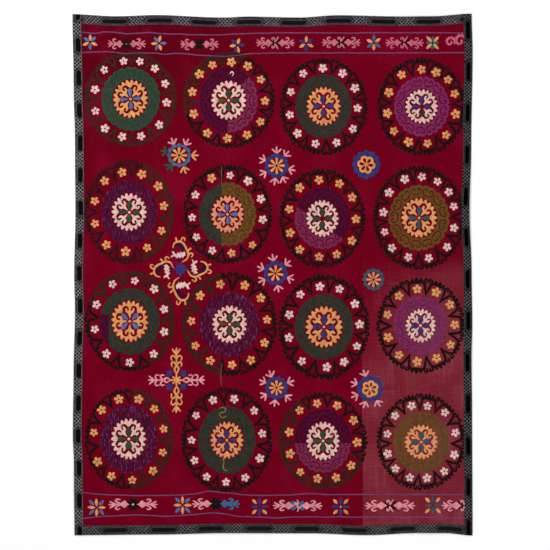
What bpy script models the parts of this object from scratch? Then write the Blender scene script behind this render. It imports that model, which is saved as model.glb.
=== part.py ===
"""An embroidered hanging, laid face up on a level surface.

Three widths of dyed cotton are sewn side by side and edged all round with a patterned woven tape.
The tape lies on the face, and its outer edge is turned down round the raw edge of the cotton.
Metres, +Z up from the surface, +Y towards the hanging's top edge, origin under its centre.
"""

import math
from collections import namedtuple

import bmesh
import bpy

# The hanging's size over the outer edges of the tape
CLOTH_WIDTH = 1.800
CLOTH_LENGTH = 2.347

# The two seams between the three widths of cotton, from the centre line
LEFT_SEAM_X = -0.230
RIGHT_SEAM_X = 0.405

# The layers
COTTON_THICKNESS = 0.0015
TAPE_THICKNESS = 0.0012
TURNED_EDGE = 0.0015
GAP = 0.0003

# How much of the tape shows on the face, which changes with how far its edge was turned
LEFT_TAPE_WIDTH = 0.040
RIGHT_TAPE_WIDTH = 0.037
END_TAPE_WIDTH = 0.043

# How finely the solids follow the ripples
CELLS_ALONG = 36
CELL_ACROSS = 0.072

# The outline isn't straight. A row gives how far the edge stands in from the full size at a
# station, which is measured from the centre along that edge.
Station = namedtuple("Station", "at inset")
LEFT_EDGE = (
    Station(1.17, 0.000),
    Station(0.86, 0.005),
    Station(0.57, 0.012),
    Station(0.29, 0.014),
    Station(0.00, 0.008),
    Station(-0.15, 0.012),
    Station(-0.44, 0.005),
    Station(-0.72, 0.002),
    Station(-0.87, 0.007),
    Station(-1.17, 0.009),
)
RIGHT_EDGE = (
    Station(1.17, 0.004),
    Station(1.00, 0.000),
    Station(0.57, 0.006),
    Station(0.29, 0.014),
    Station(0.00, 0.004),
    Station(-0.22, 0.001),
    Station(-0.37, 0.005),
    Station(-0.60, 0.002),
    Station(-1.17, 0.000),
)
TOP_EDGE = (
    Station(-0.90, 0.002),
    Station(-0.70, 0.012),
    Station(-0.52, 0.006),
    Station(-0.22, 0.018),
    Station(-0.10, 0.013),
    Station(0.12, 0.018),
    Station(0.30, 0.007),
    Station(0.60, 0.013),
    Station(0.72, 0.012),
    Station(0.90, 0.000),
)
BOTTOM_EDGE = (
    Station(-0.90, 0.001),
    Station(-0.52, 0.004),
    Station(-0.22, 0.011),
    Station(0.18, 0.009),
    Station(0.42, 0.001),
    Station(0.66, 0.011),
    Station(0.77, 0.011),
    Station(0.90, 0.000),
)

# Soft ripples by the edges, where the cloth doesn't lie down: the middle of each, how far it
# reaches from there both ways, and how high it stands
Ripple = namedtuple("Ripple", "x y reach_x reach_y height")
RIPPLES = (
    Ripple(-0.70, 1.17, 0.16, 0.20, 0.0030),
    Ripple(-0.22, 1.17, 0.20, 0.24, 0.0045),
    Ripple(0.12, 1.17, 0.20, 0.22, 0.0040),
    Ripple(0.66, 1.17, 0.22, 0.20, 0.0035),
    Ripple(-0.90, 0.40, 0.24, 0.34, 0.0045),
    Ripple(-0.90, -0.15, 0.18, 0.18, 0.0030),
    Ripple(-0.90, -0.95, 0.18, 0.20, 0.0025),
    Ripple(0.90, 0.29, 0.26, 0.28, 0.0045),
    Ripple(0.90, -0.37, 0.18, 0.18, 0.0025),
    Ripple(-0.16, -1.17, 0.30, 0.18, 0.0030),
    Ripple(0.71, -1.17, 0.20, 0.20, 0.0035),
)

MADDER_RED = (0.135, 0.003, 0.012)
FADED_RED = (0.165, 0.010, 0.024)
TAPE_GREY = (0.022, 0.022, 0.022)


def clear_scene():
    """Removes whatever the file holds when the script starts."""
    for old in list(bpy.data.objects):
        bpy.data.objects.remove(old)


def cloth_material(name, colour):
    """A matt woven material of one colour."""
    material = bpy.data.materials.new(name)
    material.use_nodes = True
    shader = material.node_tree.nodes["Principled BSDF"]
    shader.inputs["Base Color"].default_value = (*colour, 1.0)
    shader.inputs["Roughness"].default_value = 0.9
    shader.inputs["Metallic"].default_value = 0.0
    return material


def inset_at(stations, place):
    """The edge's inset at a place, eased between the stations on either side of it."""
    rows = sorted(stations)
    place = min(max(place, rows[0].at), rows[-1].at)
    for low, high in zip(rows, rows[1:]):
        if place <= high.at:
            share = (place - low.at) / (high.at - low.at)
            eased = (1 - math.cos(math.pi * share)) / 2
            return low.inset + (high.inset - low.inset) * eased
    return rows[-1].inset


def ripple_height(x, y):
    """How far the cloth stands off the surface at a point."""
    height = 0.0
    for ripple in RIPPLES:
        across = abs(x - ripple.x) / ripple.reach_x
        along = abs(y - ripple.y) / ripple.reach_y
        if across < 1 and along < 1:
            bell = math.cos(math.pi * across / 2) * math.cos(math.pi * along / 2)
            height += ripple.height * bell * bell
    return height


def laid(x, y, rise):
    """Where a point of the straight-edged cutting plan lies, rise above the cloth's underside."""
    right_share = x / CLOTH_WIDTH + 0.5
    top_share = y / CLOTH_LENGTH + 0.5
    left_push = inset_at(LEFT_EDGE, y) * (1 - right_share)
    right_push = inset_at(RIGHT_EDGE, y) * right_share
    top_push = inset_at(TOP_EDGE, x) * top_share
    bottom_push = inset_at(BOTTOM_EDGE, x) * (1 - top_share)
    laid_x = x + left_push - right_push
    laid_y = y + bottom_push - top_push
    return laid_x, laid_y, rise + ripple_height(laid_x, laid_y)


def spaced(low, high, cells):
    """Stations from low to high, evenly spaced."""
    return [low + (high - low) * i / cells for i in range(cells + 1)]


def across_stations(low, high):
    """Stations over one width of cotton, no further apart than CELL_ACROSS."""
    return spaced(low, high, math.ceil((high - low) / CELL_ACROSS))


def add_solid(name, bm, material):
    """Links a finished bmesh as an object, with its faces pointing out."""
    bmesh.ops.recalc_face_normals(bm, faces=bm.faces)
    mesh = bpy.data.meshes.new(name)
    bm.to_mesh(mesh)
    bm.free()
    mesh.materials.append(material)
    solid = bpy.data.objects.new(name, mesh)
    bpy.context.scene.collection.objects.link(solid)
    return solid


def grid_of(columns, rows):
    """A bmesh grid whose points stand at the given stations of the cutting plan."""
    bm = bmesh.new()
    last_column, last_row = len(columns) - 1, len(rows) - 1
    bmesh.ops.create_grid(bm, x_segments=last_column, y_segments=last_row, size=1.0)
    for vert in bm.verts:
        column = round((vert.co.x + 1) / 2 * last_column)
        row = round((vert.co.y + 1) / 2 * last_row)
        vert.co = (columns[column], rows[row], 0.0)
    return bm


def cotton_width(name, columns, rows, material):
    """One width of cotton: a grid laid on the surface and given its thickness."""
    bm = grid_of(columns, rows)
    under = list(bm.verts)
    raised = bmesh.ops.extrude_face_region(bm, geom=list(bm.faces), use_keep_orig=True)
    for vert in under:
        vert.co = laid(vert.co.x, vert.co.y, 0.0)
    for item in raised["geom"]:
        if isinstance(item, bmesh.types.BMVert):
            item.co = laid(item.co.x, item.co.y, COTTON_THICKNESS)
    return add_solid(name, bm, material)


def tape_section(width):
    """The tape's section as (in from the outer edge, rise): flat on the cotton, turned down outside."""
    under = COTTON_THICKNESS + GAP
    top = under + TAPE_THICKNESS
    middle = width / 2
    return (
        (0.0, 0.0),
        (0.0, top),
        (middle, top),
        (width, top),
        (width, under),
        (middle, under),
        (TURNED_EDGE, under),
        (TURNED_EDGE, 0.0),
    )


def edge_tape(name, width, stations, place, material):
    """A length of tape: its section carried from station to station.

    place(station, inward) gives the cutting plan's x and y there.
    """
    section = tape_section(width)
    last_ring, last_station = len(section), len(stations) - 1
    bm = bmesh.new()
    bmesh.ops.create_grid(bm, x_segments=last_ring, y_segments=last_station, size=1.0)
    for vert in bm.verts:
        inward, rise = section[round((vert.co.x + 1) / 2 * last_ring) % last_ring]
        station = stations[round((vert.co.y + 1) / 2 * last_station)]
        vert.co = laid(*place(station, inward), rise)
    bmesh.ops.remove_doubles(bm, verts=bm.verts, dist=GAP / 10)
    bmesh.ops.holes_fill(bm, edges=[edge for edge in bm.edges if edge.is_boundary])
    return add_solid(name, bm, material)


def build():
    """Builds the seven pieces of the hanging."""
    clear_scene()
    red = cloth_material("madder_cotton", MADDER_RED)
    faded = cloth_material("faded_cotton", FADED_RED)
    grey = cloth_material("edging_tape", TAPE_GREY)

    half_width, half_length = CLOTH_WIDTH / 2, CLOTH_LENGTH / 2
    raw_edge = TURNED_EDGE + GAP
    tape_left_x = -half_width + LEFT_TAPE_WIDTH
    tape_right_x = half_width - RIGHT_TAPE_WIDTH
    tape_y = half_length - END_TAPE_WIDTH

    inner_rows = spaced(-tape_y, tape_y, CELLS_ALONG)
    cotton_rows = [-half_length + raw_edge, *inner_rows, half_length - raw_edge]
    left_columns = [-half_width + raw_edge, *across_stations(tape_left_x, LEFT_SEAM_X - GAP / 2)]
    middle_columns = across_stations(LEFT_SEAM_X + GAP / 2, RIGHT_SEAM_X - GAP / 2)
    right_columns = [*across_stations(RIGHT_SEAM_X + GAP / 2, tape_right_x), half_width - raw_edge]

    cotton_width("cotton_left", left_columns, cotton_rows, red)
    cotton_width("cotton_middle", middle_columns, cotton_rows, red)
    cotton_width("cotton_right", right_columns, cotton_rows, faded)

    side_rows = [-half_length, *cotton_rows, half_length]
    edge_tape("tape_left", LEFT_TAPE_WIDTH, side_rows,
              lambda y, inward: (-half_width + inward, y), grey)
    edge_tape("tape_right", RIGHT_TAPE_WIDTH, side_rows,
              lambda y, inward: (half_width - inward, y), grey)

    end_columns = [tape_left_x + GAP, *left_columns[2:], *middle_columns,
                   *right_columns[:-2], tape_right_x - GAP]
    edge_tape("tape_top", END_TAPE_WIDTH, end_columns,
              lambda x, inward: (x, half_length - inward), grey)
    edge_tape("tape_bottom", END_TAPE_WIDTH, end_columns,
              lambda x, inward: (x, -half_length + inward), grey)


build()
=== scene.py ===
"""The looks of a large embroidered hanging, laid face up on a plain floor.

Three widths of dark red cotton lie on the solids of the frame. The embroidery is low relief sewn on
them: sixteen roundels, small rosettes, two crosses and a band at each end. A patterned woven tape
edges the whole. The plan of the needlework is in millimetres from the hanging's centre, +X to the
right and +Y to its top edge, and the pieces are in metres.
"""

import logging
import math
import random
from dataclasses import dataclass, field
from enum import Enum

import bmesh
import bpy
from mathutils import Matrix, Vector, noise


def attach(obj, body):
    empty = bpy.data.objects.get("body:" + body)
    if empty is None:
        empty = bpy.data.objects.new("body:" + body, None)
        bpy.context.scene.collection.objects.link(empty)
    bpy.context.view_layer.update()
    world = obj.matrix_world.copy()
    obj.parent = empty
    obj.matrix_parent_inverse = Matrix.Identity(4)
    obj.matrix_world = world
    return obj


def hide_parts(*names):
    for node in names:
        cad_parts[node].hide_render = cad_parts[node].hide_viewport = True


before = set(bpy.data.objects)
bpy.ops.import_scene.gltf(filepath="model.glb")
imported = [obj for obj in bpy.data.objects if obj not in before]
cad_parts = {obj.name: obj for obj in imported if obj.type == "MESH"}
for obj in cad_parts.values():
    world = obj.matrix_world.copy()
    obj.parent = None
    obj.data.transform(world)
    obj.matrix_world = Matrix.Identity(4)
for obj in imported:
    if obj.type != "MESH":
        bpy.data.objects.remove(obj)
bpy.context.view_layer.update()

Piece = bpy.types.Object
Socket = bpy.types.NodeSocket
Outline = list[Vector]
Pair = tuple[float, float]
Colour = tuple[float, float, float]

MM = 0.001
BODY = "root"

# The hanging's size over its tape, its two seams and its layers, as the solids have them
CLOTH_WIDTH = 1.800
CLOTH_LENGTH = 2.347
LEFT_SEAM_X = -0.230
RIGHT_SEAM_X = 0.405
COTTON_THICKNESS = 0.0015
TAPE_THICKNESS = 0.0012
TURNED_EDGE = 0.0015
GAP = 0.0003
LEFT_TAPE_WIDTH = 0.040
RIGHT_TAPE_WIDTH = 0.037
END_TAPE_WIDTH = 0.043

# How finely the cotton and the tape follow the ripples, and the needlework on them
COTTON_CELL = 0.012
TAPE_CELL = 0.010
NEEDLEWORK_CELL_MM = 32.0

# Sets the wobble of the hand work, so that every run sews it alike
HAND_SEED = 21

# The needlework's rise above the cotton, how far it is sunk, and its rounded edge, in millimetres
THREAD_EDGE_RISE = 0.45
THREAD_ROUNDING = 0.9
THREAD_CROWN = 0.35
THREAD_SINK = 0.35
OVERLAP_LIFT = 0.12
FINE_EDGE = 0.8
DOT_EDGE = 0.6
DOT_LIFT = 0.5

# The cotton between worn stitches, and the strands where they are frayed, as 0 to 255 values
GROUND_SHOWING = (98, 6, 30)
PALE_STRANDS = (148, 92, 148)

# The cotton where painted shade darkens it towards the top left corner, where it is full, light and
# darkest, and its faded part from the dye that is left to the foot, the outer edge and the bleached threads
COTTON_TONES_AND_SHADE = ((84, 5, 18), (113, 3, 27), (124, 9, 38), (74, 0, 14))
FADED_TONES = ((114, 20, 38), (124, 38, 52), (132, 54, 66), (152, 88, 96))

# What the deepest shade and the lightest shade of a thread are of its colour
THREAD_SHADES = (0.74, 1.24)


@dataclass(frozen=True)
class Yarn:
    """A dyed thread: the slot that it belongs to, and its colour as 0 to 255 values."""

    slot: str
    tone: Colour


class Thread(Enum):
    """The threads that the hanging is worked in."""

    YELLOW = Yarn("yellow_thread", (214, 148, 89))
    PEACH = Yarn("yellow_thread", (211, 139, 102))
    CREAM = Yarn("cream_thread", (216, 182, 171))
    WHITE = Yarn("cream_thread", (217, 184, 174))
    PINK = Yarn("pink_thread", (219, 140, 149))
    DUSKY_PINK = Yarn("pink_thread", (188, 106, 118))
    ROSE = Yarn("pink_thread", (194, 92, 118))
    GREEN = Yarn("green_thread", (15, 70, 53))
    DARK_GREEN = Yarn("green_thread", (16, 54, 42))
    LEAF_GREEN = Yarn("green_thread", (16, 78, 52))
    OLIVE = Yarn("green_thread", (88, 72, 25))
    MOSS = Yarn("green_thread", (124, 106, 56))
    LIGHT_BLUE = Yarn("blue_thread", (76, 104, 158))
    NAVY = Yarn("blue_thread", (32, 56, 120))
    TEAL = Yarn("blue_thread", (28, 88, 104))
    STEEL_BLUE = Yarn("blue_thread", (46, 100, 142))
    VIOLET = Yarn("violet_thread", (114, 40, 90))
    MAUVE = Yarn("violet_thread", (108, 40, 76))
    PURPLE = Yarn("violet_thread", (48, 3, 44))
    GUIDE = Yarn("violet_thread", (104, 70, 112))
    BLACK = Yarn("dark_thread", (21, 9, 9))
    BROWN = Yarn("dark_thread", (40, 31, 19))


@dataclass(frozen=True)
class Side:
    """The part of a motif that lies past a line through x, y in millimetres from its centre.

    The line is square to the direction that towards gives, in degrees from +X.
    """

    x: float
    y: float
    towards: float


@dataclass(frozen=True)
class Dye:
    """What a shape is worked in: a thread, another one over part of it, and how worn it is.

    Where it is worn the cotton shows between the stitches, and where it is frayed its pale strands do.
    """

    first: Thread
    second: Thread | None = None
    sides: tuple[Side, ...] = ()
    worn: float = 0.0
    frayed: float = 0.0


@dataclass(frozen=True)
class Ripple:
    """A soft ripple by the edge: its middle, its reach both ways and its height."""

    x: float
    y: float
    reach_x: float
    reach_y: float
    height: float


@dataclass(frozen=True)
class Crease:
    """A soft ridge between two points, left by folding: its half width and height."""

    start: Pair
    end: Pair
    reach: float
    height: float


@dataclass(frozen=True)
class Lay:
    """How the hanging lies: its uneven outline, its ripples and its creases.

    An edge's stations are pairs of a place along it and how far it stands in there from the full size.
    """

    left: tuple[Pair, ...] = (
        (1.17, 0.000), (0.86, 0.005), (0.57, 0.012), (0.29, 0.014),
        (0.00, 0.008), (-0.15, 0.012), (-0.44, 0.005), (-0.72, 0.002),
        (-0.87, 0.007), (-1.17, 0.009),
    )
    right: tuple[Pair, ...] = (
        (1.17, 0.004), (1.00, 0.000), (0.57, 0.006), (0.29, 0.014),
        (0.00, 0.004), (-0.22, 0.001), (-0.37, 0.005), (-0.60, 0.002),
        (-1.17, 0.000),
    )
    top: tuple[Pair, ...] = (
        (-0.90, 0.002), (-0.70, 0.012), (-0.52, 0.006), (-0.22, 0.018),
        (-0.10, 0.013), (0.12, 0.018), (0.30, 0.007), (0.60, 0.013),
        (0.72, 0.012), (0.90, 0.000),
    )
    bottom: tuple[Pair, ...] = (
        (-0.90, 0.001), (-0.52, 0.004), (-0.22, 0.011), (0.18, 0.009),
        (0.42, 0.001), (0.66, 0.011), (0.77, 0.011), (0.90, 0.000),
    )
    ripples: tuple[Ripple, ...] = (
        Ripple(-0.70, 1.17, 0.16, 0.20, 0.0030),
        Ripple(-0.22, 1.17, 0.20, 0.24, 0.0045),
        Ripple(0.12, 1.17, 0.20, 0.22, 0.0040),
        Ripple(0.66, 1.17, 0.22, 0.20, 0.0035),
        Ripple(-0.90, 0.40, 0.24, 0.34, 0.0045),
        Ripple(-0.90, -0.15, 0.18, 0.18, 0.0030),
        Ripple(-0.90, -0.95, 0.18, 0.20, 0.0025),
        Ripple(0.90, 0.29, 0.26, 0.28, 0.0045),
        Ripple(0.90, -0.37, 0.18, 0.18, 0.0025),
        Ripple(-0.16, -1.17, 0.30, 0.18, 0.0030),
        Ripple(0.71, -1.17, 0.20, 0.20, 0.0035),
    )
    creases: tuple[Crease, ...] = (
        Crease((0.005, 1.10), (0.012, 0.10), 0.030, 0.0014),
        Crease((0.012, 0.20), (0.004, -1.10), 0.030, 0.0010),
        Crease((0.500, 1.05), (0.506, -1.12), 0.026, 0.0013),
        Crease((0.648, 0.50), (0.644, -1.14), 0.024, 0.0011),
        Crease((-0.46, 1.00), (-0.455, -0.60), 0.030, 0.0008),
        Crease((-0.86, -0.36), (-0.20, -0.35), 0.032, 0.0009),
        Crease((0.41, 0.055), (0.87, 0.050), 0.026, 0.0013),
        Crease((0.42, -0.545), (0.86, -0.55), 0.026, 0.0010),
        Crease((-0.84, 0.58), (0.30, 0.56), 0.034, 0.0008),
        Crease((-0.30, -1.02), (0.36, -1.03), 0.026, 0.0008),
    )
    unevenness: float = 0.0007

    def inset(self, stations: tuple[Pair, ...], place: float) -> float:
        """How far an edge stands in at a place, eased between its stations.

        Args:
            stations: the edge's stations.
            place: how far along the edge, from its centre.

        Returns:
            The inset in metres.
        """
        rows = sorted(stations)
        place = min(max(place, rows[0][0]), rows[-1][0])
        for (low, low_inset), (high, high_inset) in zip(rows, rows[1:]):
            if place <= high:
                eased = (1 - math.cos(math.pi * (place - low) / (high - low))) / 2
                return low_inset + (high_inset - low_inset) * eased
        return rows[-1][1]

    def height(self, x: float, y: float) -> float:
        """How far the cloth's underside stands off the floor at a point of the laid hanging.

        Args:
            x: metres from the centre line.
            y: metres from the middle.

        Returns:
            The height in metres, never below the floor.
        """
        total = self.unevenness * (noise.noise(Vector((x * 9, y * 9, 3.0))) + 1) / 2
        for ripple in self.ripples:
            across = abs(x - ripple.x) / ripple.reach_x
            along = abs(y - ripple.y) / ripple.reach_y
            if across < 1 and along < 1:
                bell = math.cos(math.pi * across / 2) * math.cos(math.pi * along / 2)
                total += ripple.height * bell * bell
        for crease in self.creases:
            total += self.ridge(crease, x, y)
        return total

    def ridge(self, crease: Crease, x: float, y: float) -> float:
        """How much a crease lifts the cloth at a point.

        Args:
            crease: the crease.
            x: metres from the centre line.
            y: metres from the middle.

        Returns:
            The lift in metres.
        """
        run_x, run_y = crease.end[0] - crease.start[0], crease.end[1] - crease.start[1]
        from_x, from_y = x - crease.start[0], y - crease.start[1]
        share = (from_x * run_x + from_y * run_y) / (run_x * run_x + run_y * run_y)
        if not 0 < share < 1:
            return 0.0
        off = math.hypot(from_x - share * run_x, from_y - share * run_y) / crease.reach
        if off >= 1:
            return 0.0
        return crease.height * math.cos(math.pi * off / 2) ** 2 * math.sin(math.pi * share) ** 0.6

    def place(self, x: float, y: float, rise: float) -> Vector:
        """Where a point of the straight-edged cutting plan lies.

        Args:
            x: metres from the plan's centre line.
            y: metres from the plan's middle.
            rise: metres above the cloth's underside.

        Returns:
            The point in the row frame.
        """
        right_share = x / CLOTH_WIDTH + 0.5
        top_share = y / CLOTH_LENGTH + 0.5
        laid_x = x + self.inset(self.left, y) * (1 - right_share) - self.inset(self.right, y) * right_share
        laid_y = y + self.inset(self.bottom, x) * (1 - top_share) - self.inset(self.top, x) * top_share
        return Vector((laid_x, laid_y, rise + self.height(laid_x, laid_y)))


# Colours and node trees

def linear(tone: Colour) -> Colour:
    """A colour given as 0 to 255 values, as the linear values that a shader takes.

    Args:
        tone: red, green and blue from 0 to 255.

    Returns:
        Linear red, green and blue.
    """
    shares = [value / 255 for value in tone]
    return tuple(s / 12.92 if s <= 0.04045 else ((s + 0.055) / 1.055) ** 2.4 for s in shares)


@dataclass
class NodeSheet:
    """Adds nodes to one tree and links them."""

    tree: bpy.types.NodeTree

    def add(self, kind: str, inputs: dict | None = None, **settings: object) -> bpy.types.Node:
        """Adds a node.

        Args:
            kind: the node's type name.
            inputs: values or sockets by the input's name or number.
            settings: the node's own settings.

        Returns:
            The node.
        """
        node = self.tree.nodes.new(kind)
        for name, value in settings.items():
            setattr(node, name, value)
        for name, value in (inputs or {}).items():
            self.feed(node.inputs[name], value)
        return node

    def feed(self, socket: Socket, value: object) -> None:
        """Links an output to a socket, or sets its value.

        Args:
            socket: the input.
            value: an output socket, a number, a vector or a colour.
        """
        if isinstance(value, Socket):
            self.tree.links.new(value, socket)
        elif isinstance(value, tuple) and socket.type == "RGBA":
            socket.default_value = (*value, 1.0)
        else:
            socket.default_value = value

    def math(self, operation: str, *values: object) -> Socket:
        """One math step: its operation and its values or sockets. Returns the result's socket."""
        node = self.add("ShaderNodeMath", dict(enumerate(values)), operation=operation)
        return node.outputs[0]

    def times(self, first: object, second: object) -> Socket:
        """Multiplies two values or sockets. Returns the product's socket."""
        return self.math("MULTIPLY", first, second)

    def rest(self, share: object) -> Socket:
        """What is left of 1 beside a share. Returns its socket."""
        return self.math("SUBTRACT", 1.0, share)

    def where(self) -> Socket:
        """The socket of the Object coordinates."""
        return self.add("ShaderNodeTexCoord").outputs["Object"]

    def plane(self, point: Socket) -> tuple[Socket, Socket]:
        """The sockets of a point's X and Y."""
        parts = self.add("ShaderNodeSeparateXYZ", {0: point})
        return parts.outputs[0], parts.outputs[1]

    def ramp(self, value: object, low: float, high: float) -> Socket:
        """A smooth step of a value from low to high. Returns a socket from 0 to 1."""
        inputs = {"Value": value, "From Min": low, "From Max": high}
        node = self.add("ShaderNodeMapRange", inputs, interpolation_type="SMOOTHSTEP")
        return node.outputs[0]

    def mix(self, share: object, first: object, second: object) -> Socket:
        """Mixes two colours by a share. Returns the mixed colour's socket."""
        node = self.add("ShaderNodeMix", data_type="RGBA")
        self.feed(node.inputs[0], share)
        self.feed(node.inputs[6], first)
        self.feed(node.inputs[7], second)
        return node.outputs[2]

    def noise(self, where: object, stretch: Colour, detail: float = 2.0) -> Socket:
        """A noise over coordinates stretched by a scale on each axis. Returns a socket around 0.5."""
        placed = self.add("ShaderNodeMapping", {"Vector": where, "Scale": stretch})
        node = self.add("ShaderNodeTexNoise", {"Vector": placed.outputs[0], "Scale": 1.0, "Detail": detail})
        return node.outputs["Fac"]


def new_group(name: str, inputs: dict[str, float],
              outputs: tuple[str, ...]) -> tuple[NodeSheet, dict, dict]:
    """Starts a shader node group with named number sockets.

    Args:
        name: the group's name.
        inputs: default values by input name.
        outputs: the output names.

    Returns:
        The group's sheet, its input sockets and its output sockets, each by name.
    """
    tree = bpy.data.node_groups.new(name, "ShaderNodeTree")
    for label, value in inputs.items():
        made = tree.interface.new_socket(label, in_out="INPUT", socket_type="NodeSocketFloat")
        made.default_value = value
    for label in outputs:
        tree.interface.new_socket(label, in_out="OUTPUT", socket_type="NodeSocketFloat")
    sheet = NodeSheet(tree)
    entry, leave = sheet.add("NodeGroupInput"), sheet.add("NodeGroupOutput")
    return sheet, entry.outputs, leave.inputs


@dataclass
class Looks:
    """Makes the hanging's materials from three shared node groups, each thread's dye once."""

    made: dict = field(default_factory=dict)

    def __post_init__(self) -> None:
        """Builds the shared groups."""
        self.stitches = self.stitch_group()
        self.weave = self.weave_group()
        self.figures = self.figure_group()

    def stitch_group(self) -> bpy.types.NodeTree:
        """Rows of fine chain stitch that flow over the cloth. Returns the group."""
        sheet, values, results = new_group(
            "chain_stitches", {"Row": 0.0016, "Stitch": 0.0034}, ("Tone", "Streak", "Fray", "Height"))
        where = sheet.where()
        drift = sheet.add("ShaderNodeTexNoise", {"Vector": where, "Scale": 14.0, "Detail": 1.0})
        bend = sheet.add("ShaderNodeVectorMath", {0: drift.outputs["Color"], 1: (0.5, 0.5, 0.5)},
                         operation="SUBTRACT")
        push = sheet.add("ShaderNodeVectorMath", {0: bend.outputs[0], "Scale": 0.05}, operation="SCALE")
        bent = sheet.add("ShaderNodeVectorMath", {0: where, 1: push.outputs[0]}, operation="ADD")
        x, y = sheet.plane(bent.outputs[0])
        diagonal = sheet.math("ADD", x, sheet.times(y, 0.6))
        across = sheet.times(sheet.math("DIVIDE", diagonal, values["Row"]), math.pi)
        row = sheet.math("ABSOLUTE", sheet.math("SINE", across))
        step = sheet.times(sheet.math("DIVIDE", y, values["Stitch"]), math.tau)
        row_number = sheet.math("FLOOR", sheet.math("DIVIDE", across, math.pi))
        loop = sheet.math("SINE", sheet.math("ADD", step, row_number))
        height = sheet.times(row, sheet.math("MULTIPLY_ADD", loop, 0.22, 0.78))
        sheet.feed(results["Height"], height)
        mottle = sheet.noise(bent.outputs[0], (55.0, 34.0, 1.0), 3.0)
        strand = sheet.noise(bent.outputs[0], (420.0, 240.0, 1.0), 1.0)
        blend = sheet.math("MULTIPLY_ADD", mottle, 0.65, sheet.times(strand, 0.35))
        sheet.feed(results["Tone"], sheet.ramp(blend, 0.32, 0.68))
        streak = sheet.noise(where, (260.0, 26.0, 1.0), 3.0)
        sheet.feed(results["Streak"], sheet.ramp(streak, 0.40, 0.62))
        strands = sheet.noise(where, (230.0, 34.0, 4.0), 1.0)
        sheet.feed(results["Fray"], sheet.ramp(strands, 0.55, 0.66))
        return sheet.tree

    def weave_group(self) -> bpy.types.NodeTree:
        """A plain hand weave with slubs and blotches. Returns the group."""
        sheet, values, results = new_group(
            "hand_weave", {"Pitch": 0.0011}, ("Slub", "Blotch", "Hatch", "Height"))
        where = sheet.where()
        warp, weft = (sheet.math("SINE", sheet.times(sheet.math("DIVIDE", along, values["Pitch"]), math.pi))
                      for along in sheet.plane(where))
        over = sheet.times(warp, weft)
        upright = sheet.noise(where, (420.0, 24.0, 1.0), 3.0)
        level = sheet.noise(where, (24.0, 440.0, 1.0), 3.0)
        slub = sheet.math("MULTIPLY_ADD", upright, 0.55, sheet.times(level, 0.45))
        sheet.feed(results["Slub"], sheet.ramp(slub, 0.34, 0.66))
        blotch = sheet.noise(where, (5.5, 4.5, 1.0), 4.0)
        sheet.feed(results["Blotch"], sheet.ramp(blotch, 0.32, 0.68))
        streaks = [sheet.noise(where, stretch, 3.0) for stretch in ((90.0, 6.0, 1.0), (14.0, 190.0, 1.0))]
        lines = sheet.math("MAXIMUM", *(sheet.ramp(streak, 0.48, 0.72) for streak in streaks))
        sheet.feed(results["Hatch"], lines)
        sheet.feed(results["Height"], sheet.math("MULTIPLY_ADD", over, 0.5, slub))
        return sheet.tree

    def figure_group(self) -> bpy.types.NodeTree:
        """The tape's woven figures along a UV map in metres. Returns the group.

        Sections of crossed diagonal lines take turns with solid bars in two thin frames, and a fine
        line follows each edge. Bar Centre and Bar Half are shares of the tape's width.
        """
        names = {"Period": 0.15, "Start": 0.0, "Bar Share": 0.44, "Width": 0.040, "Cell": 0.0160,
                 "Bar Centre": 0.5, "Bar Half": 0.25}
        sheet, values, results = new_group("tape_figures", names, ("Lines", "Bar", "Frame", "Height"))
        uv = sheet.add("ShaderNodeUVMap", uv_map="along_tape").outputs[0]
        sway = sheet.noise(uv, (22.0, 22.0, 1.0), 2.0)
        station, depth_in = sheet.plane(uv)
        swayed = sheet.math("MULTIPLY_ADD", sway, 0.018, station)
        placed = sheet.math("ADD", swayed, values["Start"])
        along = sheet.math("FRACT", sheet.math("DIVIDE", placed, values["Period"]))
        inward = sheet.math("DIVIDE", depth_in, values["Width"])
        from_middle = sheet.math("ABSOLUTE", sheet.math("SUBTRACT", along, 0.5))
        section = sheet.math("SUBTRACT", sheet.times(values["Bar Share"], 0.5), from_middle)
        off = sheet.math("ABSOLUTE", sheet.math("SUBTRACT", inward, values["Bar Centre"]))
        room = sheet.math("MINIMUM", sheet.times(section, 4.0), values["Bar Half"])
        depth = sheet.math("SUBTRACT", room, off)
        pointed = sheet.math("ADD", section, sheet.math("MULTIPLY_ADD", off, -0.24, 0.08))
        rims = [sheet.times(sheet.ramp(depth, low, low + 0.03), sheet.rest(
            sheet.ramp(depth, low + 0.04, low + 0.07))) for low in (-0.11, -0.24)]
        rim = sheet.times(sheet.math("MAXIMUM", *rims), sheet.ramp(pointed, -0.04, 0.01))
        diagonals = []
        for sign in (1.0, -1.0):
            slant = sheet.math("ADD", swayed, sheet.times(depth_in, sign))
            wave = sheet.math("SINE", sheet.times(sheet.math("DIVIDE", slant, values["Cell"]), math.pi))
            diagonals.append(sheet.rest(sheet.ramp(sheet.math("ABSOLUTE", wave), 0.14, 0.40)))
        lattice = sheet.rest(sheet.ramp(pointed, -0.02, 0.02))
        crossed = sheet.times(sheet.math("MAXIMUM", *diagonals), lattice)
        edge = sheet.math("SUBTRACT", 0.5, sheet.math("ABSOLUTE", sheet.math("SUBTRACT", inward, 0.5)))
        dimmed = sheet.math("SUBTRACT", 0.6, sheet.times(sheet.ramp(edge, 0.04, 0.06), 0.6))
        border = sheet.times(sheet.ramp(edge, 0.015, 0.03), dimmed)
        inside = sheet.ramp(edge, 0.05, 0.07)
        sheet.feed(results["Lines"], sheet.math("MAXIMUM", sheet.times(crossed, inside), border))
        sheet.feed(results["Bar"], sheet.times(sheet.ramp(depth, -0.02, 0.03), inside))
        sheet.feed(results["Frame"], sheet.times(rim, inside))
        ribs = sheet.math("SINE", sheet.times(station, math.tau / 0.0016))
        sheet.feed(results["Height"], sheet.math("MULTIPLY_ADD", ribs, 0.3, sheet.times(crossed, 0.6)))
        return sheet.tree

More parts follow.
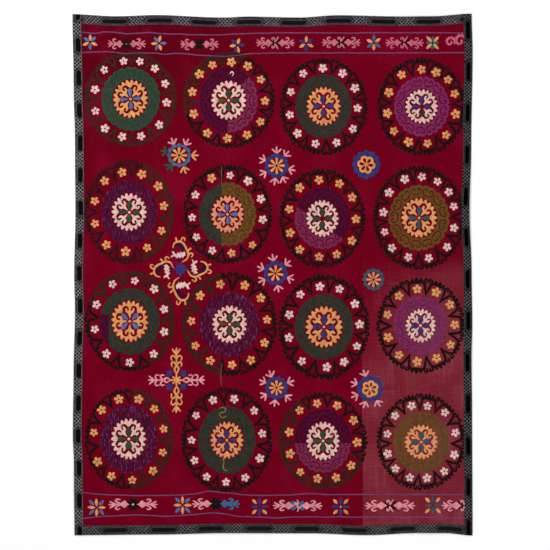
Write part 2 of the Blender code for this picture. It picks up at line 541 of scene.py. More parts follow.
    def start(self, name: str) -> tuple[bpy.types.Material, NodeSheet, bpy.types.Node]:
        """Starts a material. Returns it, its node sheet and its shader."""
        material = bpy.data.materials.new(name)
        material.use_nodes = True
        return material, NodeSheet(material.node_tree), material.node_tree.nodes["Principled BSDF"]

    def group(self, sheet: NodeSheet, tree: bpy.types.NodeTree,
              inputs: dict | None = None) -> bpy.types.Node:
        """Places a shared group in a material with its values. Returns its node."""
        node = sheet.add("ShaderNodeGroup", node_tree=tree)
        for name, value in (inputs or {}).items():
            sheet.feed(node.inputs[name], value)
        return node

    def dress(self, sheet: NodeSheet, shader: bpy.types.Node, colour: object, rough: object,
              height: object, depth: float, strength: float, gloss: float = 0.0) -> None:
        """Feeds a material's shader.

        Args:
            sheet: the material's nodes.
            shader: the shader.
            colour: the colour's socket.
            rough: the roughness's socket.
            height: the socket of the relief's height.
            depth: how deep the relief is, in metres.
            strength: how much of it shows.
            gloss: the level of its reflections.
        """
        sheet.feed(shader.inputs["Base Color"], colour)
        sheet.feed(shader.inputs["Roughness"], rough)
        shader.inputs["Specular IOR Level"].default_value = gloss
        inputs = {"Height": height, "Distance": depth, "Strength": strength}
        sheet.feed(shader.inputs["Normal"], sheet.add("ShaderNodeBump", inputs).outputs[0])

    def thread(self, dye: Dye, centre: Pair) -> bpy.types.Material:
        """The material of a dye on a motif.

        Args:
            dye: what the shape is worked in.
            centre: the motif's centre in millimetres, which its sides are measured from.

        Returns:
            The material, the same one each time for a dye that is the same all over.
        """
        key = (dye, centre if dye.sides else None)
        if key in self.made:
            return self.made[key]
        material, sheet, shader = self.start("thread_" + dye.first.name.lower())
        stitch = self.group(sheet, self.stitches)
        tone = stitch.outputs["Tone"]
        colour = self.shaded(sheet, dye.first, tone)
        if dye.second:
            share = self.past(sheet, dye.sides, centre)
            colour = sheet.mix(share, colour, self.shaded(sheet, dye.second, tone))
        if dye.worn:
            bare = sheet.times(stitch.outputs["Streak"], dye.worn)
            colour = sheet.mix(bare, colour, linear(GROUND_SHOWING))
        if dye.frayed:
            strands = sheet.times(stitch.outputs["Fray"], dye.frayed)
            colour = sheet.mix(strands, colour, linear(PALE_STRANDS))
        rough = sheet.math("MULTIPLY_ADD", tone, -0.15, 0.72)
        self.dress(sheet, shader, colour, rough, stitch.outputs["Height"], 0.0005, 0.55, gloss=0.07)
        self.made[key] = material
        return material

    def shaded(self, sheet: NodeSheet, thread: Thread, tone: Socket) -> Socket:
        """A thread's colour with its uneven dye. Returns the colour's socket."""
        plain = linear(thread.value.tone)
        dark, light = (tuple(min(value * share, 1.0) for value in plain) for share in THREAD_SHADES)
        return sheet.mix(tone, dark, light)

    def past(self, sheet: NodeSheet, sides: tuple[Side, ...],
             centre: Pair) -> Socket:
        """The share of a motif's second thread.

        Args:
            sheet: the material's nodes.
            sides: the lines that the second thread lies past, all of them.
            centre: the motif's centre in millimetres.

        Returns:
            A socket that is 1 where the second thread is.
        """
        where, share = sheet.where(), None
        for side in sides:
            angle = math.radians(side.towards)
            normal = (math.cos(angle), math.sin(angle), 0.0)
            start = ((centre[0] + side.x) * normal[0] + (centre[1] + side.y) * normal[1]) * MM
            reach = sheet.add("ShaderNodeVectorMath", {0: where, 1: normal}, operation="DOT_PRODUCT")
            step = sheet.ramp(reach.outputs["Value"], start - 0.001, start + 0.001)
            share = step if share is None else sheet.times(share, step)
        return share

    def cotton(self, faded: bool) -> bpy.types.Material:
        """The dark red cotton, mottled and uneven, with painted shade towards its top left corner.

        Args:
            faded: whether it is the width that light has bleached in its lower part.

        Returns:
            The material.
        """
        material, sheet, shader = self.start("cotton_faded" if faded else "cotton_red")
        weave = self.group(sheet, self.weave)
        across, up = sheet.plane(sheet.where())
        deep, full, light, darkest = (linear(tone) for tone in COTTON_TONES_AND_SHADE)
        # Painted shade: the cotton turns to its first, darker tone towards the top left corner
        corner = sheet.math("SUBTRACT", sheet.times(across, 0.8), up)
        colour = sheet.mix(sheet.ramp(corner, -1.7, -0.7), deep, full)
        uneven = sheet.math("MULTIPLY_ADD", weave.outputs["Blotch"], 0.7,
                            sheet.times(weave.outputs["Slub"], 0.3))
        colour = sheet.mix(sheet.times(sheet.ramp(uneven, 0.40, 1.0), 0.9), colour, light)
        darker = sheet.times(sheet.rest(weave.outputs["Slub"]), 0.32)
        colour = sheet.mix(darker, colour, darkest)
        if faded:
            colour = self.bleached(sheet, colour, weave, across, up)
        rough = sheet.math("MULTIPLY_ADD", weave.outputs["Slub"], -0.06, 0.92)
        self.dress(sheet, shader, colour, rough, weave.outputs["Height"], 0.0003, 0.6)
        return material

    def bleached(self, sheet: NodeSheet, colour: Socket, weave: bpy.types.Node,
                 across: Socket, up: Socket) -> Socket:
        """The faded lower part of the right width, paler towards the bottom and cross hatched.

        Args:
            sheet: the material's nodes.
            colour: the unfaded colour.
            weave: the weave group's node.
            across: the X of the Object coordinates.
            up: their Y.

        Returns:
            The colour's socket.
        """
        left, lowest, outermost, bleach = (linear(tone) for tone in FADED_TONES)
        ragged = sheet.math("MULTIPLY_ADD", weave.outputs["Blotch"], 0.07, up)
        foot = sheet.rest(sheet.ramp(up, -0.48, -0.30))
        reached = sheet.math("MAXIMUM", sheet.ramp(across, 0.44, 0.58), foot)
        below = sheet.times(sheet.rest(sheet.ramp(ragged, 0.010, 0.110)),
                            sheet.math("MULTIPLY_ADD", reached, 0.65, 0.35))
        lower = sheet.rest(sheet.ramp(up, -0.48, 0.04))
        dusty = sheet.mix(lower, left, lowest)
        end = sheet.math("SUBTRACT", 0.7, sheet.ramp(up, -1.10, -0.80))
        outer = sheet.math("MAXIMUM", sheet.ramp(across, 0.58, 0.88), end)
        dusty = sheet.mix(sheet.times(outer, 0.55), dusty, outermost)
        threads = sheet.times(weave.outputs["Hatch"], sheet.math("MULTIPLY_ADD", lower, 0.12, 0.20))
        dusty = sheet.mix(threads, dusty, bleach)
        patchy = sheet.math("MULTIPLY_ADD", weave.outputs["Blotch"], 0.62, 0.46)
        return sheet.mix(sheet.times(below, patchy), colour, dusty)

    def tape(self, width: float, period: float, start: float, bar_share: float, bar_centre: float,
             bar_half: float, ground: Colour, line: Colour) -> bpy.types.Material:
        """The edging tape's material, with its figures along its own map.

        Args:
            width: the tape's width that shows.
            period: the length of one bar and one crossed section.
            start: where along the tape the figures begin.
            bar_share: the bar's share of the period.
            bar_centre: where the bar lies across the tape, from 0 at its outer edge to 1.
            bar_half: half the bar's width as a share of the tape's.
            ground: the tape's ground colour.
            line: the colour of its lines.

        Returns:
            The material.
        """
        material, sheet, shader = self.start("edging_tape_woven")
        inputs = {"Period": period, "Start": start, "Bar Share": bar_share, "Width": width,
                  "Bar Centre": bar_centre, "Bar Half": bar_half}
        figures = self.group(sheet, self.figures, inputs)
        wear = sheet.ramp(sheet.noise(sheet.where(), (60.0, 60.0, 1.0), 4.0), 0.35, 0.65)
        colour, worn_line = (sheet.mix(wear, tuple(v * worn for v in linear(tone)), linear(tone))
                             for tone, worn in ((ground, 0.75), (line, 0.60)))
        colour = sheet.mix(figures.outputs["Lines"], colour, worn_line)
        colour = sheet.mix(sheet.times(figures.outputs["Frame"], 0.55), colour, worn_line)
        colour = sheet.mix(figures.outputs["Bar"], colour, tuple(v * 0.55 for v in linear(ground)))
        rough = sheet.math("MULTIPLY_ADD", wear, 0.1, 0.8)
        self.dress(sheet, shader, colour, rough, figures.outputs["Height"], 0.0004, 0.5)
        return material


# Outlines in the plane

def smoothed(points: Outline, cuts: int, closed: bool = True) -> Outline:
    """A smooth curve through given points.

    Args:
        points: the points.
        cuts: how many steps lie between two of them.
        closed: whether the curve returns to its start.

    Returns:
        The curve's points.
    """
    count = len(points)
    spans = count if closed else count - 1
    curve = []
    for i in range(spans):
        if closed:
            a, b, c, d = (points[(i + k) % count] for k in (-1, 0, 1, 2))
        else:
            a, b, c, d = (points[min(max(i + k, 0), count - 1)] for k in (-1, 0, 1, 2))
        for step in range(cuts):
            t = step / cuts
            curve.append(0.5 * (2 * b + (c - a) * t + (2 * a - 5 * b + 4 * c - d) * t * t
                                + (3 * b - a - 3 * c + d) * t ** 3))
    if not closed:
        curve.append(points[-1].copy())
    return curve


def vectors(*pairs: Pair) -> Outline:
    """Plane points from pairs of numbers in millimetres."""
    return [Vector(pair) for pair in pairs]


def mirrored(points: Outline) -> Outline:
    """The points mirrored over the Y axis, in the opposite order."""
    return [Vector((-p.x, p.y)) for p in reversed(points)]


def symmetric(half: Outline) -> Outline:
    """Half an outline that ends on the Y axis, followed by its mirror image."""
    return [*half, *mirrored(half[:-1])]


def carried(points: Outline, x: float, y: float, turn: float = 0.0, size: float = 1.0) -> Outline:
    """The points scaled, turned and moved.

    Args:
        points: the points about their own origin.
        x: where the origin goes, across.
        y: where the origin goes, up.
        turn: degrees anticlockwise.
        size: the scale.

    Returns:
        The moved points.
    """
    angle = math.radians(turn)
    cosine, sine = math.cos(angle) * size, math.sin(angle) * size
    return [Vector((x + p.x * cosine - p.y * sine, y + p.x * sine + p.y * cosine)) for p in points]


def polar(count: int, radius: object, start: float = 0.0) -> Outline:
    """A closed outline about the origin.

    Args:
        count: how many points it has.
        radius: gives the radius at an angle in radians.
        start: the first point's angle in radians.

    Returns:
        The outline.
    """
    angles = [start + math.tau * i / count for i in range(count)]
    return [Vector((math.cos(a), math.sin(a))) * radius(a) for a in angles]


def disc(radius: float, count: int = 12) -> Outline:
    """A round outline about the origin."""
    return polar(count, lambda angle: radius)


def stroke(path: Outline, widths: tuple[float, ...], cuts: int = 4) -> Outline:
    """The outline of a stroke with round ends.

    Args:
        path: the points that its middle line goes through.
        widths: its width at the path's start, on the way and at its end, evenly spaced.
        cuts: how finely the line is smoothed.

    Returns:
        The closed outline.
    """
    line = smoothed(path, cuts, closed=False)
    last = len(line) - 1
    left, right = [], []
    for i, point in enumerate(line):
        run = (line[min(i + 1, last)] - line[max(i - 1, 0)]).normalized()
        out = Vector((-run.y, run.x))
        place = i / last * (len(widths) - 1)
        low = min(int(place), len(widths) - 2) if len(widths) > 1 else 0
        high = min(low + 1, len(widths) - 1)
        half = (widths[low] + (widths[high] - widths[low]) * (place - low)) / 2
        left.append(point + out * half)
        right.append(point - out * half)
    end_run = (line[-1] - line[-2]).normalized()
    start_run = (line[0] - line[1]).normalized()
    return [*right, *cap(line[-1], end_run, widths[-1] / 2), *reversed(left),
            *cap(line[0], start_run, widths[0] / 2)]


def cap(end: Vector, outward: Vector, half: float) -> Outline:
    """The points of a stroke's round end.

    Args:
        end: the middle of the end.
        outward: the direction that the stroke ends in.
        half: half the stroke's width.

    Returns:
        Three points, anticlockwise about the end.
    """
    side = Vector((outward.y, -outward.x))
    turns = (math.radians(45), math.radians(90), math.radians(135))
    return [end + side * math.cos(t) * half + outward * math.sin(t) * half for t in turns]


def hand(x: float, y: float) -> Pair:
    """Where a point of the plan was really sewn, as no line of hand work is quite true.

    Args:
        x: the plan's place in millimetres.
        y: the plan's place in millimetres.

    Returns:
        The sewn place in millimetres.
    """
    broad = noise.noise_vector(Vector((x / 60, y / 60, 7.0)))
    fine = noise.noise_vector(Vector((x / 13, y / 13, 19.0)))
    return x + broad.x * 2.2 + fine.x * 0.8, y + broad.y * 2.2 + fine.y * 0.8


@dataclass(frozen=True)
class Bench:
    """What every piece is made with: how the hanging lies, and its materials."""

    lay: Lay
    looks: Looks


@dataclass
class Stitching:
    """One piece of needlework: shapes in one dye, raised on the cotton and rounded at their edges."""

    name: str
    dye: Dye
    centre: Pair
    bench: Bench
    count: int = 0
    bm: bmesh.types.BMesh = field(default_factory=bmesh.new)

    def fill(self, *loops: Outline, lift: float = 0.0, rounding: float = THREAD_ROUNDING) -> None:
        """Works one closed shape.

        Args:
            loops: its outline, and then those of its holes, in millimetres.
            lift: how far it lies above other needlework, in millimetres.
            rounding: the width of its rounded edge, in millimetres.
        """
        bm = self.bm
        edges = []
        for loop in loops:
            verts = [bm.verts.new((point.x, point.y, -THREAD_SINK)) for point in loop]
            edges += [bm.edges.new(pair) for pair in zip(verts, verts[1:] + verts[:1])]
        filled = bmesh.ops.triangle_fill(bm, edges=edges, use_beauty=True, normal=(0, 0, 1))
        under = [item for item in filled["geom"] if isinstance(item, bmesh.types.BMFace)]
        bmesh.ops.reverse_faces(bm, faces=[face for face in under if face.normal.z < 0])
        raised = bmesh.ops.extrude_face_region(bm, geom=under, use_keep_orig=True)
        step = THREAD_SINK + THREAD_EDGE_RISE + lift + OVERLAP_LIFT * (self.count % 3)
        for item in raised["geom"]:
            if isinstance(item, bmesh.types.BMVert):
                item.co.z += step
        top = [item for item in raised["geom"] if isinstance(item, bmesh.types.BMFace)]
        bmesh.ops.inset_region(bm, faces=top, thickness=rounding, depth=THREAD_CROWN,
                               use_boundary=True, use_even_offset=True)
        self.count += 1

    def make(self) -> Piece:
        """Lays the shapes on the cloth and makes them one piece. Returns the piece."""
        bm = self.bm
        for axis in (0, 1):
            low = min(vert.co[axis] for vert in bm.verts)
            high = max(vert.co[axis] for vert in bm.verts)
            across = Vector((1, 0, 0)) if axis == 0 else Vector((0, 1, 0))
            for i in range(1, math.ceil((high - low) / NEEDLEWORK_CELL_MM)):
                bmesh.ops.bisect_plane(bm, geom=[*bm.verts, *bm.edges, *bm.faces], dist=0.0001,
                                       plane_co=across * (low + i * NEEDLEWORK_CELL_MM), plane_no=across)
        for vert in bm.verts:
            x, y = (value * MM for value in hand(vert.co.x, vert.co.y))
            vert.co = (x, y, self.bench.lay.height(x, y) + COTTON_THICKNESS + vert.co.z * MM)
        piece = finished(self.name, bm, self.bench.looks.thread(self.dye, self.centre))
        return piece


def finished(name: str, bm: bmesh.types.BMesh, material: bpy.types.Material) -> Piece:
    """Makes a bmesh a smooth shaded piece that rides on the hanging.

    Args:
        name: the piece's name.
        bm: its mesh, which is freed.
        material: its finish.

    Returns:
        The piece.
    """
    bmesh.ops.recalc_face_normals(bm, faces=bm.faces)
    mesh = bpy.data.meshes.new(name)
    bm.to_mesh(mesh)
    bm.free()
    mesh.materials.append(material)
    mesh.shade_smooth()
    mesh.set_sharp_from_angle(angle=math.radians(50))
    piece = bpy.data.objects.new(name, mesh)
    bpy.context.scene.collection.objects.link(piece)
    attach(piece, BODY)
    return piece


@dataclass
class Motif:
    """A motif of the needlework: what it is made with, its name and its centre in millimetres."""

    bench: Bench
    name: str
    x: float
    y: float

    def stitching(self, part: str, dye: Dye) -> Stitching:
        """Starts one of the motif's pieces."""
        return Stitching(f"{self.name}_{part}", dye, (self.x, self.y), self.bench)

    def set_down(self, shape: Outline, turn: float = 0.0, size: float = 1.0) -> Outline:
        """A shape scaled and turned about the motif's centre."""
        return carried(shape, self.x, self.y, turn, size)


@dataclass(frozen=True)
class Oval:
    """A slightly oval ring about a motif's centre, in millimetres."""

    x: float
    y: float
    across: float
    up: float

    @property
    def mean(self) -> float:
        """The oval's mean radius."""
        return (self.across + self.up) / 2

    def at(self, angle: float, radius: float) -> Vector:
        """The point at an angle in radians and a radius, which the oval shape stretches."""
        return Vector((self.x + math.cos(angle) * radius * self.across / self.mean,
                       self.y + math.sin(angle) * radius * self.up / self.mean))


@dataclass(frozen=True)
class RoundelPlan:
    """What one roundel has: its place, its sizes and its threads.

    Each size is a mean radius across and up in millimetres: that of the flowers' ring, the scrolled
    ring, the rosette and the wreath. The flowers' angles are in degrees as seen from the centre, and
    the others are those of them that are yellow among white ones.
    """

    name: str
    x: float
    y: float
    flowers: Pair
    ring: Pair
    rosette: Pair
    wreath: Pair
    flowers_at: tuple[float, ...]
    ring_dye: Dye
    rosette_dye: Dye
    leaf: tuple[Thread, ...]
    flower: Thread
    wreath_dye: Dye = Dye(Thread.BLACK)
    dot: bool = True
    leaf_turn: float = 0.0
    others: tuple[int, ...] = ()


@dataclass
class Roundel(Motif):
    """A roundel: a toothed rosette with four leaves, a scrolled ring, and a wreath round flowers."""

    plan: RoundelPlan
    seed: int
    ring_units: int = 13
    rosette_teeth: int = 22
    tooth_depth: float = 0.18
    ring_gap: float = 3.2
    dot_radius: float = 6.2
    heart_radius: float = 3.9
    yellow_flower: float = 21.0
    pale_flower: float = 20.0
    # The widths of a scroll that is worked thin and of one that is worked full
    thin_scroll: float = 4.4
    full_scroll: float = 6.2
    # The rosette's radius and the scroll's width and height that their outlines are drawn for
    leaf_scale: float = 84.0
    scroll_across: float = 58.0
    scroll_up: float = 33.0
    # The hollow in the rosette, from one leaf's axis to the diagonal: share of its radius, degrees
    hollow: tuple[Pair, ...] = (
        (0.58, 0), (0.72, 12), (0.78, 19), (0.78, 30), (0.72, 37), (0.63, 40), (0.535, 40), (0.53, 35),
        (0.545, 31.5), (0.60, 30.5), (0.665, 30), (0.66, 24), (0.57, 19.7), (0.47, 19.8), (0.41, 30),
        (0.30, 34), (0.165, 37), (0.155, 45),
    )
    # Half of a ring scroll's middle line: sideways and outward from its unit's centre
    scroll: tuple[Pair, ...] = (
        (0, -14), (12, -13), (21, -9), (26, -1), (24, 7), (16, 13), (9, 11), (6.5, 5), (9.5, 2),
    )
    # Half of a wreath unit's outer edge, from its spike to the notch between two units
    wreath_outside: tuple[Pair, ...] = (
        (0, 50), (3.4, 47), (5.6, 41), (6.8, 36.5), (8.2, 37), (10, 44), (13.4, 47.5), (17.2, 44.5),
        (18.8, 38), (19.6, 33.5), (21.6, 35), (25.2, 43.5), (31.5, 48.5), (37.4, 46), (39.4, 39.5),
        (38.6, 32.5), (35, 26.8), (31.4, 27.4), (31.4, 31), (32.8, 34.6), (32.2, 38), (30.6, 38.8),
        (28.8, 36.2), (29.4, 30.5), (31.2, 25.5), (33, 19.5), (36, 10), (38.4, 0), (40, -7),
    )
    wreath_inside: tuple[Pair, ...] = (
        (0, 23.5), (12, 24), (19, 24), (23, 20), (26, 10), (28.6, 0), (32.6, -12), (37.4, -25), (40, -28),
    )
    unit_half: float = 40.0
    unit_top: float = 46.0
    unit_foot: float = -26.0
    # How much further out the flowers stand on the diagonals, as a share
    squareness: float = 0.045

    def __post_init__(self) -> None:
        """Starts the roundel's own random draws."""
        self.draws = random.Random(self.seed)

    def oval(self, size: Pair) -> Oval:
        """An oval of a size about the roundel's centre."""
        return Oval(self.x, self.y, *size)

    def rosette(self) -> list[Piece]:
        """The toothed rosette with its hollow, its leaves and its centre dot. Returns the pieces."""
        plan, oval = self.plan, self.oval(self.plan.rosette)
        teeth, turn = self.rosette_teeth, math.radians(plan.leaf_turn)
        samples = teeth * 8
        edge = []
        for i in range(samples):
            angle = math.tau * i / samples
            depth = self.tooth_depth * (1 - abs(math.cos(teeth * angle / 2)) ** 1.25)
            edge.append(oval.at(angle + turn, oval.mean * (1 - depth)))
        back = [(share, 90 - degrees) for share, degrees in reversed(self.hollow[1:-1])]
        hollow = []
        for quarter in range(4):
            for share, degrees in (*self.hollow, *back):
                angle = math.radians(degrees + 90 * quarter) + turn
                hollow.append(oval.at(angle, oval.mean * share))
        work = self.stitching("rosette", plan.rosette_dye)
        work.fill(edge, smoothed(hollow, 2))
        if plan.dot:
            work.fill(self.set_down(disc(self.dot_radius)))
        return [work.make(), *self.leaves(oval)]

    def leaves(self, oval: Oval) -> list[Piece]:
        """The four leaves about the rosette's centre. Returns a piece for each of their threads."""
        half = vectors((1.4, 11), (4.0, 17), (7.0, 26), (9.0, 35), (8.8, 42), (5.6, 44), (3.6, 47), (0, 48))
        size = oval.mean / self.leaf_scale
        found = {}
        for i in range(4):
            thread = self.plan.leaf[i % len(self.plan.leaf)]
            if thread not in found:
                found[thread] = self.stitching("leaves_" + thread.name.lower(), Dye(thread))
            lean = self.draws.uniform(-4, 4)
            turn = 90 * i + self.plan.leaf_turn + lean - 90
            found[thread].fill(self.set_down(symmetric(half), turn, size))
        return [work.make() for work in found.values()]

    def ring(self) -> list[Piece]:
        """The ring with its lobed edge and its scrolls left open. Returns its piece."""
        plan, oval = self.plan, self.oval(self.plan.ring)
        inner = self.oval(tuple(size + self.ring_gap for size in plan.rosette))
        units, steps, start = self.ring_units, 14, self.draws.uniform(0, math.tau)
        pitch = math.tau / units
        edge = []
        for i in range(units * steps):
            phase = i / steps
            lobe = 1 - abs(math.sin(math.tau * phase)) ** 0.6
            depth = (6 + 3.5 * math.cos(math.pi * phase) ** 2) * lobe
            edge.append(oval.at(start + phase * pitch, oval.mean - depth))
        inside = [inner.at(math.tau * i / 72, inner.mean) for i in range(72)]
        middle = (inner.mean + oval.mean) / 2 - 1.0
        size_u = (middle * pitch - 5) / self.scroll_across
        size_v = (oval.mean - inner.mean - 19) / self.scroll_up
        half = vectors(*self.scroll)
        line = [*mirrored(half[1:]), *half]
        thin = plan.ring_dye.frayed or plan.ring_dye.first in (Thread.GREEN, Thread.DARK_GREEN)
        wide = self.thin_scroll if thin else self.full_scroll
        holes = []
        for unit in range(units):
            angle = start + (unit + 0.5) * pitch
            fit = self.draws.uniform(0.95, 1.03)
            shape = stroke(line, (wide * 0.8, wide, wide, wide, wide, wide * 0.8), 3)
            holes.append([oval.at(angle - p.x * size_u * fit / middle, middle + p.y * size_v * fit)
                          for p in shape])
        work = self.stitching("ring", plan.ring_dye)
        work.fill(edge, inside, *holes)
        return [work.make()]

    def wreath_point(self, place: int, u: float, v: float) -> Vector:
        """A point of a wreath unit.

        Args:
            place: which of the flowers the unit stands round.
            u: sideways, up to unit_half at the notch between this unit and its neighbour.
            v: outward from the flowers' ring.

        Returns:
            The point on the cloth.
        """
        plan, oval = self.plan, self.oval(self.plan.flowers)
        outer, spots = self.oval(plan.wreath), self.plan.flowers_at
        beside = spots[(place + 1) % len(spots)] if u > 0 else spots[place - 1]
        gap = abs((beside - spots[place] + 180) % 360 - 180)
        seen = math.radians(spots[place] + u / self.unit_half * gap / 2)
        angle = math.atan2(math.sin(seen) * oval.across, math.cos(seen) * oval.up)
        swing = math.cos(angle) ** 2
        reach = (outer.across - oval.across) * swing + (outer.up - oval.up) * (1 - swing)
        ring = (plan.ring[0] - oval.across) * swing + (plan.ring[1] - oval.up) * (1 - swing) + 5
        swell = oval.mean * self.squareness * math.sin(2 * angle) ** 2
        out = v * (reach - swell) / self.unit_top if v > 0 else v * (ring - swell) / self.unit_foot
        return oval.at(angle, oval.mean + swell) + Vector((math.cos(angle), math.sin(angle))) * out

    def wreath(self) -> list[Piece]:
        """The wreath, the flowers inside it and their dark hearts. Returns the pieces."""
        plan = self.plan
        outside, inside = [], []
        for i in range(len(plan.flowers_at)):
            tall = self.draws.uniform(0.90, 1.10)
            for points, target in ((self.wreath_outside, outside), (self.wreath_inside, inside)):
                half = vectors(*points)
                for p in [*mirrored(half[1:]), *half[:-1]]:
                    v = p.y if p.y < 30 else 30 + (p.y - 30) * tall
                    target.append(self.wreath_point(i, p.x, v))
        work = self.stitching("wreath", plan.wreath_dye)
        work.fill(smoothed(outside, 2), smoothed(inside, 2), rounding=FINE_EDGE)
        flowers, other = self.stitching("flowers", Dye(plan.flower)), None
        hearts = self.stitching("hearts", Dye(Thread.BLACK))
        size = self.yellow_flower if plan.flower is Thread.YELLOW else self.pale_flower
        if plan.others:
            other = self.stitching("flowers_yellow", Dye(Thread.YELLOW))
        for i in range(len(plan.flowers_at)):
            spot = self.wreath_point(i, 0.0, self.draws.uniform(-2, 1))
            target = other if i in plan.others else flowers
            reach = size * self.draws.uniform(0.90, 1.06)
            turn = self.draws.uniform(0, 72)
            target.fill(carried(self.flower(reach), spot.x, spot.y, turn))
            heart = carried(disc(self.heart_radius, 8), spot.x, spot.y)
            hearts.fill(heart, lift=DOT_LIFT, rounding=DOT_EDGE)
        return [piece.make() for piece in (work, flowers, hearts, other) if piece]

    def flower(self, reach: float) -> Outline:
        """A flower of five round petals.

        Args:
            reach: its radius.

        Returns:
            Its outline.
        """
        waist = reach * 0.40
        return polar(40, lambda angle: waist + (reach - waist) * abs(math.cos(2.5 * angle)) ** 0.60)

    def build(self) -> list[Piece]:
        """Works the whole roundel. Returns its pieces."""
        return [*self.rosette(), *self.ring(), *self.wreath()]


T = Thread
CROSS_ANGLES = (0, 90, 180, 270)
DIAGONAL_ANGLES = (45, 135, 225, 315)
MIXED_LEAVES = (T.LEAF_GREEN, T.LEAF_GREEN, T.OLIVE, T.LEAF_GREEN)
FRAYED_PURPLE = Dye(T.PURPLE, worn=0.25, frayed=0.38)
ROUNDELS = (
    RoundelPlan("r1c1", -639, 790, (164, 172), (133, 144), (79, 87), (208, 212),
                (-6, 24, 51, 76, 100, 132, 165, 199, 229, 258, 286, 318),
                Dye(T.GREEN), Dye(T.YELLOW), (T.LIGHT_BLUE,), T.WHITE, Dye(T.BROWN, worn=0.35),
                leaf_turn=4),
    RoundelPlan("r1c2", -197, 784, (165, 173), (132, 147), (80, 89), (206, 216),
                (-1, 33, 61, 86, 115, 138, 167, 201, 237, 268, 298, 326),
                Dye(T.PURPLE, T.MAUVE, (Side(-4, 0, 0), Side(40, 60, -50))), Dye(T.CREAM),
                MIXED_LEAVES, T.YELLOW,
                Dye(T.BLACK, T.BROWN, (Side(-60, 60, 135),))),
    RoundelPlan("r1c3", 230, 757, (154, 171), (127, 144), (77, 87), (197, 218),
                (-3, 30, 60, 91, 122, 156, 194, 226, 258, 290, 322),
                Dye(T.DARK_GREEN), Dye(T.YELLOW), (T.NAVY,), T.WHITE, leaf_turn=1),
    RoundelPlan("r1c4", 671, 756, (155, 167), (126, 136), (74, 78), (200, 218),
                (-13, 21, 46, 67, 90, 122, 157, 191, 222, 250, 279, 311),
                Dye(T.VIOLET), Dye(T.CREAM), (T.NAVY, T.NAVY, T.NAVY, T.DARK_GREEN), T.YELLOW,
                dot=False, leaf_turn=2),
    RoundelPlan("r2c1", -645, 281, (160, 180), (127, 146), (79, 85), (201, 232),
                (10, 42, 71, 100, 128, 162, 199, 235, 265, 297, 330),
                Dye(T.PURPLE, worn=0.25, frayed=0.22), Dye(T.CREAM), (T.LEAF_GREEN,), T.YELLOW,
                Dye(T.BLACK, T.BROWN, (Side(60, 0, 0),), 0.30)),
    RoundelPlan("r2c2", -202, 271, (161, 176), (129, 144), (74, 85), (200, 223),
                (25, 58, 86, 114, 149, 185, 216, 247, 276, 309, 352),
                Dye(T.DARK_GREEN, T.OLIVE, (Side(-28, 0, 0),)), Dye(T.PEACH), (T.LIGHT_BLUE,), T.WHITE,
                others=(3, 8, 9)),
    RoundelPlan("r2c3", 224, 252, (153, 173), (124, 139), (73, 84), (193, 220),
                (-1, 35, 64, 95, 126, 164, 204, 234, 265, 292, 323),
                Dye(T.PURPLE, T.MAUVE, (Side(-10, -20, 235),)), Dye(T.CREAM), (T.LEAF_GREEN,), T.YELLOW,
                dot=False),
    RoundelPlan("r2c4", 659, 255, (162, 185), (137, 149), (81, 90), (208, 233),
                (-16, 18, 41, 63, 86, 110, 140, 171, 202, 228, 255, 284, 314),
                Dye(T.OLIVE), Dye(T.YELLOW), (T.TEAL,), T.WHITE),
    RoundelPlan("r3c1", -642, -210, (160, 185), (135, 150), (83, 93), (201, 225),
                (19, 53, 83, 115, 153, 193, 234, 270, 306, 343),
                Dye(T.DARK_GREEN, T.PURPLE, (Side(-95, 0, 180), Side(0, 30, -90))), Dye(T.YELLOW),
                (T.LIGHT_BLUE,), T.WHITE, Dye(T.BROWN, T.BLACK, (Side(-40, -60, 225),)), leaf_turn=45),
    RoundelPlan("r3c2", -193, -224, (172, 185), (134, 146), (79, 86), (213, 232),
                (7, 40, 69, 103, 136, 175, 212, 242, 273, 301, 332),
                FRAYED_PURPLE, Dye(T.CREAM),
                MIXED_LEAVES, T.YELLOW,
                Dye(T.BLACK, T.BROWN, (Side(-37, 0, 180),))),
    RoundelPlan("r3c3", 232, -236, (162, 183), (133, 148), (84, 94), (204, 235),
                (4, 37, 68, 96, 126, 160, 197, 237, 274, 300, 330),
                Dye(T.DARK_GREEN), Dye(T.YELLOW), (T.NAVY,), T.WHITE),
    RoundelPlan("r3c4", 666, -229, (153, 164), (123, 132), (69, 76), (198, 215),
                (1, 35, 65, 95, 126, 162, 200, 234, 265, 296, 327),
                Dye(T.VIOLET), Dye(T.CREAM), (T.NAVY,), T.YELLOW),
    RoundelPlan("r4c1", -647, -740, (159, 185), (130, 154), (79, 93), (199, 226),
                (16, 49, 76, 104, 133, 169, 216, 245, 275, 308, 339),
                FRAYED_PURPLE, Dye(T.CREAM), (T.LEAF_GREEN,), T.YELLOW,
                Dye(T.BLACK, T.BROWN, (Side(10, 0, 0),))),
    RoundelPlan("r4c2", -205, -745, (160, 190), (129, 153), (74, 84), (204, 234),
                (10, 47, 80, 109, 141, 180, 212, 241, 269, 296, 331),
                Dye(T.DARK_GREEN), Dye(T.PEACH, T.YELLOW, (Side(-25, 0, 0),)), (T.NAVY,), T.WHITE),
    RoundelPlan("r4c3", 227, -749, (155, 173), (128, 144), (75, 88), (198, 217),
                (-2, 34, 68, 99, 127, 165, 201, 234, 262, 290, 319),
                Dye(T.PURPLE, T.MAUVE, (Side(0, -10, 270),)), Dye(T.CREAM), (T.LEAF_GREEN,), T.YELLOW,
                Dye(T.BROWN, T.BLACK, (Side(40, 40, 45),))),
    RoundelPlan("r4c4", 669, -753, (157, 165), (127, 137), (75, 79), (199, 216),
                (15, 51, 80, 105, 135, 167, 199, 226, 252, 279, 308, 339),
                Dye(T.OLIVE), Dye(T.YELLOW), (T.TEAL,), T.WHITE),
)


# Small rosettes, crosses and bands

class PetalKind(Enum):
    """How a small rosette's petals are worked."""

    CLUB = "clubs that widen outward"
    LOOP = "round petals in one, with a drop left open in each"


